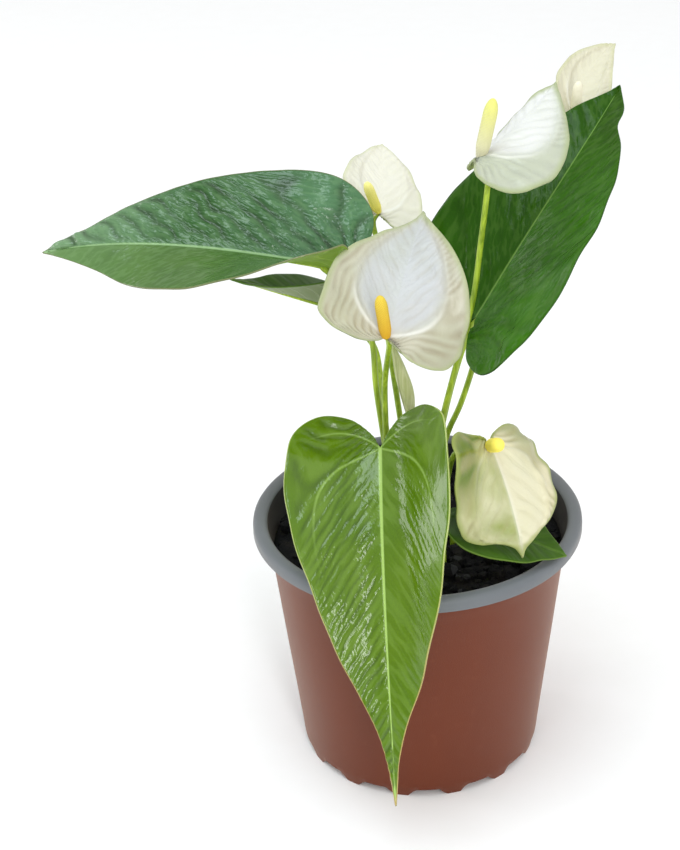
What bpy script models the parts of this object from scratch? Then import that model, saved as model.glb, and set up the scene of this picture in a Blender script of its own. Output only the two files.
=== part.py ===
"""Potted anthurium: a plastic nursery pot, potting mix, five leaves and six blooms.

All numbers below are in millimetres and degrees. The origin is the middle of the
pot's base, on the ground. -Y is the front of the plant and +Z is up.
"""
import math

import bmesh
import bpy
import numpy as np

MM = 0.001
GAP = 0.3            # left between two pieces that touch

# Pot
POT_H = 104.0
RIM_R = 65.0         # outside of the rolled rim
MOUTH_R = 59.2       # inside of the rolled rim
SKIRT_H = 5.4        # height of the rolled rim
BASE_R = 47.4
WALL = 1.2
FLOOR_Z = 3.0        # underside of the floor
PAD_R = 8.0          # moulding pad in the middle of the base
FEET = 14
FOOT_SEGMENTS = 6
NOTCH = (0.0, 0.0, 2.2, 2.8, 2.8, 2.2)   # height of the wall's lower edge, foot by foot

# Potting mix
SOIL_Z = 92.0
SOIL_LUMP = 1.3
SOIL_SEGMENTS = 42
HOLE_Z = 80.0

# Plant
LEAF_T = 0.8
SPATHE_T = 0.8
STEM_R = 1.15
STEM_SIDES = 8

# Half outlines of the blades, from the stalk's end to the tip:
# (distance along the midrib / length, distance from it / half width)
LEAF = ((0, 0), (-.09, .10), (-.17, .33), (-.17, .66), (-.05, .92), (.10, 1), (.25, .93),
        (.40, .77), (.55, .57), (.68, .36), (.78, .19), (.88, .08), (1, 0))
SPATHE = ((0, 0), (-.09, .12), (-.18, .40), (-.16, .72), (-.03, .95), (.15, 1), (.35, .94),
          (.55, .77), (.72, .53), (.86, .27), (.95, .09), (1, 0))
# the low bloom's spathe is fuller towards its tip, where it hangs like a hood
HOOD = ((0, 0), (-.09, .14), (-.16, .45), (-.13, .78), (0, .97), (.18, 1), (.38, .98), (.56, .92),
        (.70, .80), (.79, .58), (.84, .32), (.90, .11), (1, 0))


# Scene and materials
def clear_scene():
    for obj in list(bpy.data.objects):
        bpy.data.objects.remove(obj, do_unlink=True)


def material(name, rgb, roughness, metallic=0.0):
    mat = bpy.data.materials.new(name)
    mat.use_nodes = True
    bsdf = mat.node_tree.nodes["Principled BSDF"]
    bsdf.inputs["Base Color"].default_value = (*rgb, 1.0)
    bsdf.inputs["Roughness"].default_value = roughness
    bsdf.inputs["Metallic"].default_value = metallic
    mat.diffuse_color = (*rgb, 1.0)
    return mat


def add_solid(name, verts, faces, mat, at=(0, 0, 0), smooth=True):
    """A mesh object from points in mm, with its own origin at the point `at`."""
    at = np.asarray(at, float)
    mesh = bpy.data.meshes.new(name)
    mesh.from_pydata([tuple((np.asarray(v) - at) * MM) for v in verts], [], faces)
    bm = bmesh.new()
    bm.from_mesh(mesh)
    bmesh.ops.recalc_face_normals(bm, faces=bm.faces)
    bm.to_mesh(mesh)
    bm.free()
    mesh.materials.append(mat)
    for poly in mesh.polygons:
        poly.use_smooth = smooth
    obj = bpy.data.objects.new(name, mesh)
    obj.location = tuple(at * MM)
    bpy.context.collection.objects.link(obj)
    return obj


def boolean(obj, tool, operation):
    """Apply an exact Boolean and remove the tool."""
    mod = obj.modifiers.new(operation.lower(), "BOOLEAN")
    mod.operation = operation
    mod.solver = "EXACT"
    mod.object = tool
    bpy.context.view_layer.objects.active = obj
    bpy.ops.object.modifier_apply(modifier=mod.name)
    bpy.data.objects.remove(tool, do_unlink=True)


# Curves
def spline(points, samples):
    """Points spread along a smooth curve through the given points."""
    pts = np.asarray(points, float)
    ends = np.vstack([2 * pts[0] - pts[1], pts, 2 * pts[-1] - pts[-2]])
    out = []
    for s in np.linspace(0, len(pts) - 1, samples):
        i = min(int(s), len(pts) - 2)
        u = s - i
        a, b, c, d = ends[i:i + 4]
        out.append(0.5 * (2 * b + (c - a) * u + (2 * a - 5 * b + 4 * c - d) * u ** 2
                          + (3 * b - a - 3 * c + d) * u ** 3))
    return np.array(out)


def even(points, samples):
    """The same curve with its points at even distances."""
    fine = spline(points, 400)
    dist = np.concatenate([[0], np.cumsum(np.linalg.norm(np.diff(fine, axis=0), axis=1))])
    want = np.linspace(0, dist[-1], samples)
    return np.stack([np.interp(want, dist, fine[:, k]) for k in range(fine.shape[1])], axis=1)


def tube(path, radii, sides, turn=0.0):
    """Closed tube around a path, with its two ends capped."""
    path = np.asarray(path, float)
    tangent = np.gradient(path, axis=0)
    tangent /= np.linalg.norm(tangent, axis=1)[:, None]
    side = np.cross(tangent[0], (0, 1, 0.1))
    verts, faces = [], []
    for i, (p, t) in enumerate(zip(path, tangent)):
        side = side - t * np.dot(side, t)
        side /= np.linalg.norm(side)
        up = np.cross(t, side)
        for k in range(sides):
            a = 2 * math.pi * (k + turn * i) / sides
            r = radii[i] if np.ndim(radii[i]) == 0 else radii[i][k]
            verts.append(p + r * (math.cos(a) * side + math.sin(a) * up))
    for i in range(len(path) - 1):
        for k in range(sides):
            a, b = i * sides + k, i * sides + (k + 1) % sides
            c, d = a + sides, b + sides
            faces += [(a, b, c), (b, d, c)]
    last = (len(path) - 1) * sides
    faces.append(tuple(range(sides - 1, -1, -1)))
    faces.append(tuple(range(last, last + sides)))
    return verts, faces


# Blades
def turned(az, pitch, roll):
    """Directions along, across (to the right) and out of a blade that points to azimuth az."""
    az, pitch, roll = np.radians(az), np.radians(pitch), np.radians(roll)
    along = np.stack([np.cos(az) * np.cos(pitch), np.sin(az) * np.cos(pitch), np.sin(pitch)], -1)
    flat = np.stack([np.sin(az), -np.cos(az), 0 * az], -1)
    out = np.cross(flat, along)
    c, s = np.cos(roll)[..., None], np.sin(roll)[..., None]
    return along, c * flat + s * out, c * out - s * flat


class Blade:
    """A heart-shaped blade whose midrib bends and whose halves fold and curl.

    at     end of the stalk, where the blade begins
    az     compass direction of the midrib, pitch its slope and roll its tilt to the right;
           each is a pair, at the base and at the tip
    fold   lift of the left and right halves above flat, a pair each
    curl   how much further each half bends towards its margin
    lobe   how much the two lobes bend down behind the stalk's end
    back   length of the lobes, full the fullness of the outline: below 1 is rounder
    side   width and lobe length of the left half beside the right one
    """

    def __init__(self, outline, at, length, width, az, pitch, roll, fold_left, fold_right,
                 curl=(0, 0), lobe=0, bend=1.0, back=1.0, full=1.0, side=(1, 1)):
        self.outline, self.at = outline, np.array(at, float)
        self.length, self.half = length, width / 2
        self.fold, self.curl = (fold_left, fold_right), curl
        self.back, self.full, self.side = back, full, side
        s = np.linspace(-0.35, 1.02, 138)
        ahead = np.clip(s, 0, None)
        self.s = s
        slope = pitch[0] + (pitch[1] - pitch[0]) * ahead ** bend - np.where(s < 0, lobe * s / 0.2, 0)
        axes = turned(az[0] + (az[1] - az[0]) * ahead, slope, roll[0] + (roll[1] - roll[0]) * ahead)
        along, self.across, self.out = axes
        steps = (along[1:] + along[:-1]) / 2 * (s[1] - s[0]) * length
        line = np.vstack([np.zeros(3), np.cumsum(steps, axis=0)])
        self.line = line - self.pick(line, 0.0) + self.at

    def pick(self, rows, u):
        return np.stack([np.interp(u, self.s, rows[:, k]) for k in range(3)], axis=-1)

    def point(self, x, y):
        """Point of the blade x mm along the midrib and y mm to its right."""
        u = x / self.length
        i = 1 if y > 0 else 0
        fold, curl = self.fold[i], math.radians(self.curl[i])
        lift = math.radians(fold[0] + (fold[1] - fold[0]) * min(max(u, 0), 1))
        k = curl / self.half if abs(curl) > 1e-6 else 1e-6
        a = abs(y)
        wide = (math.sin(lift + k * a) - math.sin(lift)) / k
        high = (math.cos(lift) - math.cos(lift + k * a)) / k
        return self.pick(self.line, u) + self.pick(self.across, u) * math.copysign(wide, y) \
            + self.pick(self.out, u) * high

    def rim(self, right, rows):
        """Margin of one half as (x, y) in mm, from the stalk's end to the tip."""
        pts = np.array(self.outline, float)
        wide, deep = (1, 1) if right else self.side
        pts[:, 0] = np.where(pts[:, 0] < 0, pts[:, 0] * self.back * deep, pts[:, 0])
        pts[:, 1] = np.where(pts[:, 0] > 0.12, pts[:, 1] ** self.full, pts[:, 1])
        fine = spline(pts, rows + 1)
        return fine * (self.length, self.half * wide)

    def solid(self, rows, cols, thick, rib=0.0):
        """Points and triangles of the blade; its rows run like side veins, midrib to margin."""
        verts, quads = [], []
        start = self.add(verts, 0, 1e-5)
        tip = self.add(verts, self.length, 1e-5)
        mids = [min(max(x - 0.42 * y, 0), self.length) for x, y in self.rim(True, rows)]
        spine = {i: self.add(verts, m, 1e-5) for i, m in enumerate(mids) if 0 < i < rows and m > 0}
        for right in (True, False):
            sign = 1 if right else -1
            grid = []
            for i, (x, y) in list(enumerate(self.rim(right, rows)))[1:rows]:
                row = [spine.get(i, start)]
                for j in range(1, cols + 1):
                    f = j / cols
                    row.append(self.add(verts, mids[i] + (x - mids[i]) * f, sign * max(y, 1e-4) * f))
                grid.append(row)
            grid.append([tip] * (cols + 1))
            for near, far in zip(grid, grid[1:]):
                for j in range(cols):
                    a, b, c, d = near[j], near[j + 1], far[j], far[j + 1]
                    tris = ((a, b, d), (a, d, c)) if right else ((a, d, b), (a, c, d))
                    quads += [t for t in tris if len(set(t)) == 3]
        return thicken(np.array(verts), quads, thick, rib, set(spine.values()))

    def add(self, verts, x, y):
        verts.append(self.point(x, y))
        return len(verts) - 1


def thicken(verts, tris, thick, rib, spine):
    """Give a surface of triangles a thickness, split alike on both faces."""
    tri = np.array(tris)
    cross = np.cross(verts[tri[:, 1]] - verts[tri[:, 0]], verts[tri[:, 2]] - verts[tri[:, 0]])
    cross /= np.linalg.norm(cross, axis=1)[:, None]
    normal = np.zeros_like(verts)
    for k in range(3):
        np.add.at(normal, tri[:, k], cross)
    normal /= np.linalg.norm(normal, axis=1)[:, None]
    lean = np.zeros(len(verts))
    count = np.zeros(len(verts))
    for k in range(3):
        np.add.at(lean, tri[:, k], (cross * normal[tri[:, k]]).sum(axis=1))
        np.add.at(count, tri[:, k], 1)
    reach = thick / 2 / np.clip(lean / count, 0.6, 1)
    low = reach.copy()
    for v in spine:
        low[v] += rib
    n = len(verts)
    both = np.vstack([verts + normal * reach[:, None], verts - normal * low[:, None]])
    faces = [tuple(t) for t in tri] + [(c + n, b + n, a + n) for a, b, c in tri]
    edges = {}
    for t in tris:
        for k in range(3):
            edges[(t[k], t[(k + 1) % 3])] = True
    for a, b in edges:
        if (b, a) not in edges:
            faces += [(b, a, a + n), (b, a + n, b + n)]
    return list(both), faces


# Stems
holes = []


def stem_path(hole, via, samples):
    """Straight up out of the potting mix, then a smooth curve through the via points."""
    x, y = hole
    holes.append((x, y))
    pts = [(x, y, SOIL_Z - 4), (x, y, SOIL_Z + 3)] + [tuple(v) for v in via]
    above = spline(pts, 60 * (len(pts) - 1) + 1)[60:]
    return np.vstack([[(x, y, HOLE_Z + GAP)], even(above[::6], samples)])


def leaf(name, blade, hole, via, mat, rows=18, cols=4, radius=STEM_R):
    """One leaf: its blade and petiole grown together."""
    obj = add_solid(name, *blade.solid(rows, cols, LEAF_T, rib=0.5), mat, at=blade.at)
    out = blade.pick(blade.out, 0.0)
    ahead = blade.point(0.03 * blade.length, 1e-5)
    under = blade.at - out * 3.5 + (blade.at - ahead) * 0.5
    path = stem_path(hole, list(via) + [under, ahead - out * 0.2], 15)
    radii = np.full(len(path), radius)
    radii[-1] = 0.3
    radii[-2] = radius * 0.9
    stalk = add_solid(name + "_petiole", *tube(path, radii, STEM_SIDES), mat)
    boolean(obj, stalk, "UNION")
    return obj


def spadix_solid(base, top, radius, rows, sides):
    """Blunt spike whose surface carries rows of florets in a net."""
    base, top = np.array(base, float), np.array(top, float)
    path, radii = [], []
    for i in range(rows + 1):
        f = i / rows
        path.append(base + (top - base) * f)
        shape = min(1, 0.72 + 1.6 * f) * (1 if f < 0.72 else math.sqrt(max(1 - ((f - 0.72) / 0.285) ** 2, 0)))
        radii.append([radius * shape * (1 + 0.07 * (-1) ** (i + k)) for k in range(sides)])
    return tube(path, radii, sides)


def bloom(name, blade, hole, via, spadix_top, spadix_r, spathe_mat, spadix_mat, green,
          rows=16, cols=3, stand=8.0, beside=0.0, clear=0.0, radius=STEM_R):
    """Stalk, spathe and spadix; the spathe sits between the other two.

    The stalk comes up under the spathe, `beside` mm to the right of its base where the
    left half hangs down. `clear` lifts the spadix further out of a narrow fold.
    """
    out, across = blade.pick(blade.out, 0.0), blade.pick(blade.across, 0.0)
    add_solid("spathe_" + name, *blade.solid(rows, cols, SPATHE_T), spathe_mat, at=blade.at)
    droop = 0 if beside else math.tan(math.radians(max(-blade.fold[0][0], -blade.fold[1][0], 0)))
    end = blade.at - out * (SPATHE_T / 2 + GAP + 0.4 + radius * droop) + across * beside
    path = stem_path(hole, list(via) + [blade.at - out * stand + across * beside * 2, end], 15)
    add_solid("stalk_" + name, *tube(path, np.full(len(path), radius), STEM_SIDES), green)
    up = np.array(spadix_top, float) - blade.at
    up /= np.linalg.norm(up)
    lean = float(np.dot(up, out))
    fold = math.tan(math.radians(max(blade.fold[0][0], blade.fold[1][0], 0)))
    foot = 0.75 * spadix_r
    rise = SPATHE_T / 2 + GAP + foot * (math.sqrt(max(1 - lean ** 2, 0)) + fold) + 0.3 + clear
    base = blade.at + up * rise / lean
    add_solid("spadix_" + name, *spadix_solid(base, spadix_top, spadix_r, 14, 12), spadix_mat)


# Pot and potting mix
def ring(radius, z, segments):
    return [(radius * math.cos(2 * math.pi * k / segments),
             radius * math.sin(2 * math.pi * k / segments), z) for k in range(segments)]


def lathe(rings, segments):
    """Closed solid from rings and single middle points, joined in order."""
    verts, faces, starts = [], [], []
    for item in rings:
        starts.append((len(verts), len(item)))
        verts += item
    for (a, na), (b, nb) in zip(starts, starts[1:]):
        for k in range(segments):
            n = (k + 1) % segments
            if na == 1:
                faces.append((a, b + k, b + n))
            elif nb == 1:
                faces.append((a + k, b, a + n))
            else:
                faces += [(a + k, b + k, b + n), (a + k, b + n, a + n)]
    return verts, faces


def make_pot(mat):
    segments = FEET * FOOT_SEGMENTS
    feet_out = [(x, y, NOTCH[k % FOOT_SEGMENTS]) for k, (x, y, _) in enumerate(ring(BASE_R, 0, segments))]
    feet_in = [(x, y, NOTCH[k % FOOT_SEGMENTS]) for k, (x, y, _) in enumerate(ring(BASE_R - 1.5, 0, segments))]
    lip_z = POT_H - SKIRT_H
    outline = [(BASE_R + 0.8, 3.4), (BASE_R + 1.3, 8), (58.0, 88), (60.4, 97), (60.9, POT_H - 1.7),
               (RIM_R - WALL, POT_H - 1.9), (RIM_R - WALL, lip_z), (RIM_R, lip_z), (RIM_R, POT_H - 1.8),
               (RIM_R - 0.9, POT_H - 0.5), (RIM_R - 3, POT_H), (MOUTH_R + 0.9, POT_H - 0.4),
               (MOUTH_R, POT_H - 1.6), (MOUTH_R, 97), (58.0 - WALL, 88), (46.6, FLOOR_Z + WALL)]
    rings = [feet_in, feet_out] + [ring(r, z, segments) for r, z in outline]
    rings += [[(0, 0, FLOOR_Z + WALL)]]
    verts, faces = lathe(rings, segments)
    under = [feet_in, ring(BASE_R - 1.6, FLOOR_Z, segments), ring(PAD_R, FLOOR_Z, segments),
             ring(PAD_R, 0, segments), [(0, 0, 0)]]
    low_verts, low_faces = lathe(under, segments)
    shift = len(verts) - segments
    verts += low_verts[segments:]
    faces += [tuple(v if v < segments else v + shift for v in f) for f in low_faces]
    return add_solid("pot", verts, faces, mat)


def inner_r(z):
    """Inside radius of the pot's wall at a height."""
    return float(np.interp(z, (FLOOR_Z + WALL, 88, 97), (46.6, 58.0 - WALL, MOUTH_R)))


def make_soil(mat):
    rings = [[(0, 0, SOIL_Z)]]
    edge = inner_r(SOIL_Z - 1.5) - GAP - 0.1
    for i in range(1, 8):
        r = edge * i / 7
        row = []
        for k, (x, y, _) in enumerate(ring(r, 0, SOIL_SEGMENTS)):
            lump = math.sin(0.53 * x + 1.3) * math.cos(0.47 * y - 0.4) + 0.6 * math.sin(0.9 * x - 1.1 * y)
            keep = 0.35 if i == 7 else 1.0
            row.append((x, y, SOIL_Z + SOIL_LUMP * 0.6 * lump * keep - (1.5 if i == 7 else 0)))
        rings.append(row)
    rings.append(ring(inner_r(88) - GAP - 0.2, 87.5, SOIL_SEGMENTS))
    rings.append(ring(46.6 - GAP - 0.1, FLOOR_Z + WALL + GAP, SOIL_SEGMENTS))
    rings.append([(0, 0, FLOOR_Z + WALL + GAP)])
    soil = add_solid("soil", *lathe(rings, SOIL_SEGMENTS), mat, smooth=False)
    for i, (x, y) in enumerate(holes):
        r = STEM_R + GAP + 0.1
        path = [(x, y, HOLE_Z), (x, y, SOIL_Z + 6)]
        cutter = add_solid("hole_%d" % i, *tube(path, (r, r), 12), mat)
        boolean(soil, cutter, "DIFFERENCE")
    return soil


# The plant
def make_leaves(green):
    leaf("leaf_left",
         Blade(LEAF, (-31.4, 12, 204.8), 114, 74.6, az=(183, 163), pitch=(12.7, -17.7),
               roll=(20.3, 30.5), fold_left=(61, -37.9), fold_right=(27.7, -0.3), lobe=-2.4,
               bend=1.64, back=0.72, full=0.72, side=(0.97, 0.25)),
         (-9.5, 3), [(-10.4, 2.5, 118.3), (-12.9, 2.5, 139.6), (-15, 2.5, 159), (-16, 2.5, 177.6),
                     (-20.5, 4, 189), (-27, 7, 198.5)], green["left"])
    leaf("leaf_front",
         Blade(LEAF, (-12.8, -24.7, 145.2), 133.8, 73.6, az=(-90.4, -82.7), pitch=(-33.2, -75.5),
               roll=(-14.2, -14.2), fold_left=(40.1, 26.2), fold_right=(29.9, 26.4), lobe=-22.2,
               bend=0.82, back=0.56, full=1.13),
         (-5, -5), [(-6, -6, 112), (-10, -11, 132)], green["front"])
    leaf("leaf_right",
         Blade(LEAF, (24.1, 11, 183.4), 106.9, 84, az=(26.1, 56.7), pitch=(55, 29.3),
               roll=(-5, -4.2), fold_left=(9.6, 16.1), fold_right=(15.3, 17.4), lobe=-9.6,
               bend=1.09, back=0.86, full=0.6),
         (5, 7), [(7, 7.5, 112), (12.2, 9, 133.1), (17.8, 11, 146.2), (22.9, 12.5, 163)],
         green["right"])
    leaf("leaf_small",
         Blade(LEAF, (18.6, -30.1, 122.7), 41.9, 44.3, az=(-14.6, -6.1), pitch=(-26.4, -21.7),
               roll=(-8.1, -11.6), fold_left=(17.4, 4.1), fold_right=(6.9, 0.5), back=0.98, full=0.6),
         (14, -8), [(14.5, -10, 103), (16, -19, 115)], green["small"], rows=14, cols=3)
    leaf("leaf_rear",
         Blade(LEAF, (-24, 24, 180), 51, 37.2, az=(192, 195.6), pitch=(21.9, 24.7),
               roll=(-9.8, 0.8), fold_left=(63.2, 22.3), fold_right=(17.5, 34.7), lobe=-10,
               full=0.82),
         (-5.5, 7.5), [(-10.9, 8, 131.9), (-12.9, 11, 152), (-15.5, 17, 168)],
         green["rear"], rows=14, cols=3)


def make_blooms(white, yellow, green):
    bloom("front",
          Blade(SPATHE, (-10.1, -31.5, 196.4), 53.5, 58.2, az=(67.5, 73.8), pitch=(44.7, 25.4),
                roll=(-8.2, 0.4), fold_left=(22.9, 1.5), fold_right=(-14.6, 35.3),
                curl=(32.6, -36.2), lobe=-12.7, back=0.56, full=1.12),
          (-10, -2), [(-11.9, -3, 121.5), (-11.5, -4.5, 143.3), (-11.3, -10.5, 167)],
          (-12, -39, 216), 2.7, white["front"], yellow["front"], green)
    bloom("top",
          Blade(SPATHE, (25, 2, 252.3), 44, 55, az=(39.3, 49.7), pitch=(20.2, 26.5),
                roll=(-21.7, -23.8), fold_left=(-75, -45), fold_right=(12.9, -8),
                curl=(-10, -14.5), lobe=-24.2, back=1.39, full=1.08, side=(0.42, 0.25)),
          (1.5, 2), [(9.4, 3, 138.7), (16.2, 5, 167.2), (22.3, 6, 192.7), (24.9, 5, 213.6),
                     (27, 0, 236)],
          (29.4, -2, 275), 3.1, white["top"], yellow["top"], green, beside=2.0,
          clear=-0.8)
    bloom("back",
          Blade(SPATHE, (-13.5, 47, 211.5), 42.2, 34.6, az=(85.5, 89.6), pitch=(21.7, 14.6),
                roll=(-20, -18.6), fold_left=(27.3, -1.5), fold_right=(7.8, 4.4), lobe=3.5,
                back=0.78, full=0.91),
          (-0.5, 11), [(-5, 12, 131.2), (-7, 16, 145.4), (-9.9, 24, 165.8), (-11.6, 34, 180.7),
                       (-13.1, 43, 197)],
          (-17.5, 41, 227), 2.4, white["back"], yellow["back"], green, stand=6,
          clear=1.2)
    bloom("far",
          Blade(SPATHE, (63.3, 66, 243.6), 41.4, 25, az=(75.7, 45.5), pitch=(35.9, 12.3),
                roll=(-34.2, -31.3), fold_left=(30, 18), fold_right=(28, 20), back=1.02),
          (4.5, 12.5), [(8, 20, 118), (18, 38, 152), (36, 56, 192), (55, 67, 226)],
          (65, 63, 258), 2.0, white["far"], yellow["far"], green, stand=4,
          clear=0.9)
    bloom("low",
          Blade(HOOD, (27.4, -36.1, 153.3), 44.8, 50.5, az=(-54.1, -35.7), pitch=(-47.8, -81.6),
                roll=(-9.1, -19.8), fold_left=(-17.3, 12.9), fold_right=(27.7, -42.3),
                curl=(-31.1, 16), lobe=19.7, bend=0.74, back=0.93, full=1.06),
          (9.8, -21.8), [(10, -16, 105), (11.3, -11, 120), (15, -13, 137)],
          (30, -53, 163), 2.6, white["low"], yellow["low"], green, stand=7)
    path = stem_path((-0.5, -3), [(-0.5, -3, 125), (-1.6, -2.5, 146)], 10)
    add_solid("stalk_bud", *tube(path, np.full(len(path), STEM_R), STEM_SIDES), green)
    run = even([(-1.7, -2.5, 146.4), (-2.8, -2.6, 157), (-5.4, -3, 168), (-8.2, -3.4, 179.5)], 13)
    shape = (1.1, 1.5, 1.95, 2.35, 2.6, 2.7, 2.65, 2.5, 2.25, 1.9, 1.5, 1.0, 0.35)
    add_solid("bud", *tube(run, shape, 10), white["bud"])


clear_scene()
leaf_green = {
    "left": material("leaf_blue_green", (0.075, 0.19, 0.09), 0.35),
    "front": material("leaf_bright_green", (0.13, 0.25, 0.015), 0.35),
    "right": material("leaf_dark_green", (0.03, 0.1, 0.015), 0.4),
    "small": material("leaf_small_green", (0.05, 0.12, 0.01), 0.4),
    "rear": material("leaf_rear_green", (0.07, 0.13, 0.05), 0.45),
}
spathe_white = {
    "front": material("spathe_white", (0.82, 0.82, 0.84), 0.4),
    "top": material("spathe_top_white", (0.82, 0.83, 0.8), 0.4),
    "back": material("spathe_back_cream", (0.82, 0.8, 0.7), 0.4),
    "far": material("spathe_far_cream", (0.78, 0.8, 0.6), 0.4),
    "low": material("spathe_low_cream", (0.62, 0.65, 0.38), 0.4),
    "bud": material("bud_cream_green", (0.45, 0.47, 0.25), 0.45),
}
spadix_yellow = {
    "front": material("spadix_front_yellow", (0.83, 0.5, 0.06), 0.6),
    "top": material("spadix_top_cream", (0.78, 0.77, 0.4), 0.6),
    "back": material("spadix_back_yellow", (0.8, 0.7, 0.12), 0.6),
    "far": material("spadix_far_yellow", (0.75, 0.72, 0.3), 0.6),
    "low": material("spadix_low_yellow", (0.83, 0.6, 0.1), 0.6),
}
stem_green = material("stalk_green", (0.13, 0.2, 0.02), 0.45)
make_leaves(leaf_green)
make_blooms(spathe_white, spadix_yellow, stem_green)
make_soil(material("potting_mix", (0.012, 0.011, 0.012), 0.95))
make_pot(material("pot_red_brown_plastic", (0.2, 0.07, 0.035), 0.5))
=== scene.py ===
# %% [markdown]
# # A potted anthurium
# The plant is a young white anthurium in a moulded nursery pot: five heart-shaped
# leaves, five blooms and one bud on thin stalks. The CAD model already has every
# part in place, so this file only dresses it: each CAD node is hidden and a finer
# piece stands exactly where it was. The CAD parts are loaded first and kept.

# %% Load the CAD frame
import math

import bmesh
import bpy
import numpy as np
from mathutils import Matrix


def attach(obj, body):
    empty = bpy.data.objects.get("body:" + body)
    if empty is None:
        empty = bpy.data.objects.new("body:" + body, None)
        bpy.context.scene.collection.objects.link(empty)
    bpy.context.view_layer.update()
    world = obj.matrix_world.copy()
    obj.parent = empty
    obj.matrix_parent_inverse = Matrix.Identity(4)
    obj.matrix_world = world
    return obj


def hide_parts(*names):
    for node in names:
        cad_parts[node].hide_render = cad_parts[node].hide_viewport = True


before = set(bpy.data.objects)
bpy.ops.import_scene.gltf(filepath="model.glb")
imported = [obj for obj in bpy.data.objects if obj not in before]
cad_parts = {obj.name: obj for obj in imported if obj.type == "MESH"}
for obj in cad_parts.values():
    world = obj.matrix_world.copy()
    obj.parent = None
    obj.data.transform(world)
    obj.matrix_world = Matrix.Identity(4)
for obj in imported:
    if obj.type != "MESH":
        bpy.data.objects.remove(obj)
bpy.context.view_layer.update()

MM = 0.001

# %% [markdown]
# Colours are read off as sRGB hex, as a paint program shows them. Blender's sockets
# want linear light, so one function turns one into the other, for every material.
# The second function adds a shader node, gives it its settings and links its inputs.

# %% Colour and node helpers
def hex_colour(code):
    """Linear RGBA from an sRGB hex value such as '#7CA03C'."""
    srgb = [int(code[i:i + 2], 16) / 255 for i in (1, 3, 5)]
    return tuple(c / 12.92 if c <= 0.04045 else ((c + 0.055) / 1.055) ** 2.4 for c in srgb) + (1.0,)


def add(mat, kind, inputs=None, **settings):
    """A new node in the material; an input is a plain value or another node's output."""
    tree = mat.node_tree
    node = tree.nodes.new("ShaderNode" + kind)
    for key, value in settings.items():
        setattr(node, key, value)
    for key, value in (inputs or {}).items():
        if isinstance(value, bpy.types.NodeSocket):
            tree.links.new(value, node.inputs[key])
        else:
            node.inputs[key].default_value = value
    return node


def new_material(name, roughness, ior=1.45, specular=0.5):
    """An empty Principled material with its plain numbers set."""
    mat = bpy.data.materials.new(name)
    mat.use_nodes = True
    shader = mat.node_tree.nodes["Principled BSDF"]
    shader.inputs["Roughness"].default_value = roughness
    shader.inputs["IOR"].default_value = ior
    shader.inputs["Specular IOR Level"].default_value = specular
    return mat, shader


def mix(mat, amount, first, second, blend="MIX"):
    """The colour between two others; the amount is a number or an output."""
    return add(mat, "Mix", {0: amount, 6: first, 7: second}, data_type="RGBA",
               blend_type=blend).outputs[2]


def line(mat, distance, full, gone):
    """1 nearer than `full` metres, 0 farther than `gone`, smooth between."""
    size = add(mat, "Math", {0: distance}, operation="ABSOLUTE").outputs[0]
    return add(mat, "MapRange", {"Value": size, "From Min": full, "From Max": gone,
                                 "To Min": 1.0, "To Max": 0.0},
               interpolation_type="SMOOTHSTEP").outputs[0]


def link(mat, output, shader, socket):
    mat.node_tree.links.new(output, shader.inputs[socket])


# %% [markdown]
# Pieces made with operators need a clean selection, because an operator acts on all
# that is selected. A finished piece keeps its place in its mesh, with its object at
# the origin, rides on the root, and the CAD nodes it stands for are hidden.

# %% Selection and hand-over helpers
def only(piece):
    """Select one piece and nothing else."""
    bpy.ops.object.select_all(action="DESELECT")
    piece.select_set(True)
    bpy.context.view_layer.objects.active = piece
    return piece


def settle(piece, nodes):
    """Place the piece in its mesh, ride it on the root and stand it for CAD nodes."""
    only(piece)
    bpy.ops.object.transform_apply(location=True, rotation=True, scale=True)
    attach(piece, "root")
    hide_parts(*nodes)
    print(piece.name, len(piece.data.polygons), "faces for", ", ".join(nodes))
    return piece


def vertex_places(mesh):
    """All points of a mesh as one array, in metres."""
    places = np.empty(len(mesh.vertices) * 3, np.float32)
    mesh.vertices.foreach_get("co", places)
    return places.reshape(-1, 3).astype(float)


def move_vertices(mesh, places):
    mesh.vertices.foreach_set("co", np.asarray(places, np.float32).ravel())
    mesh.update()


# %% [markdown]
# The photograph looks down at the plant at about 29 degrees from 0.87 m away, with a
# long lens. The camera is tilted 2 degrees, as a hand holds it, which is why the pot
# leans a little in the picture. The place and angles were solved from the pot's rim
# and base ellipses.

# %% Camera
YAW, PITCH, ROLL = (math.radians(a) for a in (-2.39, 28.56, -2.05))
ahead = np.array((math.sin(YAW) * math.cos(PITCH), math.cos(YAW) * math.cos(PITCH), -math.sin(PITCH)))
level = np.array((math.cos(YAW), -math.sin(YAW), 0.0))
upward = np.cross(level, ahead)
view_right = math.cos(ROLL) * level + math.sin(ROLL) * upward
view_up = -math.sin(ROLL) * level + math.cos(ROLL) * upward
bpy.ops.object.camera_add(location=(0, -0.700, 0.5246))
camera = bpy.context.object
camera.name = "camera"
turn = np.stack([view_right, view_up, -ahead], axis=1)
import mathutils
camera.rotation_euler = mathutils.Matrix(turn.tolist()).to_euler()
camera.data.lens = 87.37
camera.data.sensor_width = 36.0
camera.data.clip_start = 0.05
bpy.context.scene.camera = camera
print("camera lens", camera.data.lens, "mm")

# %% [markdown]
# The studio is plain. The room is white overhead and brighter to the right, and
# dimmer at the left and in front, so that the dark leaves stay dark and the pot is
# shaded in front. Glossy leaves show what they mirror, so three lights were placed by
# working out where each leaf mirrors from: a box overhead for the left leaf, a tall
# narrow window for the strip beside the front leaf's midrib, and a small box at the
# left rear for the right leaf. A fourth brightens the pot's left side. The floor is white paper, and
# Standard colours keep white white.

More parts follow.
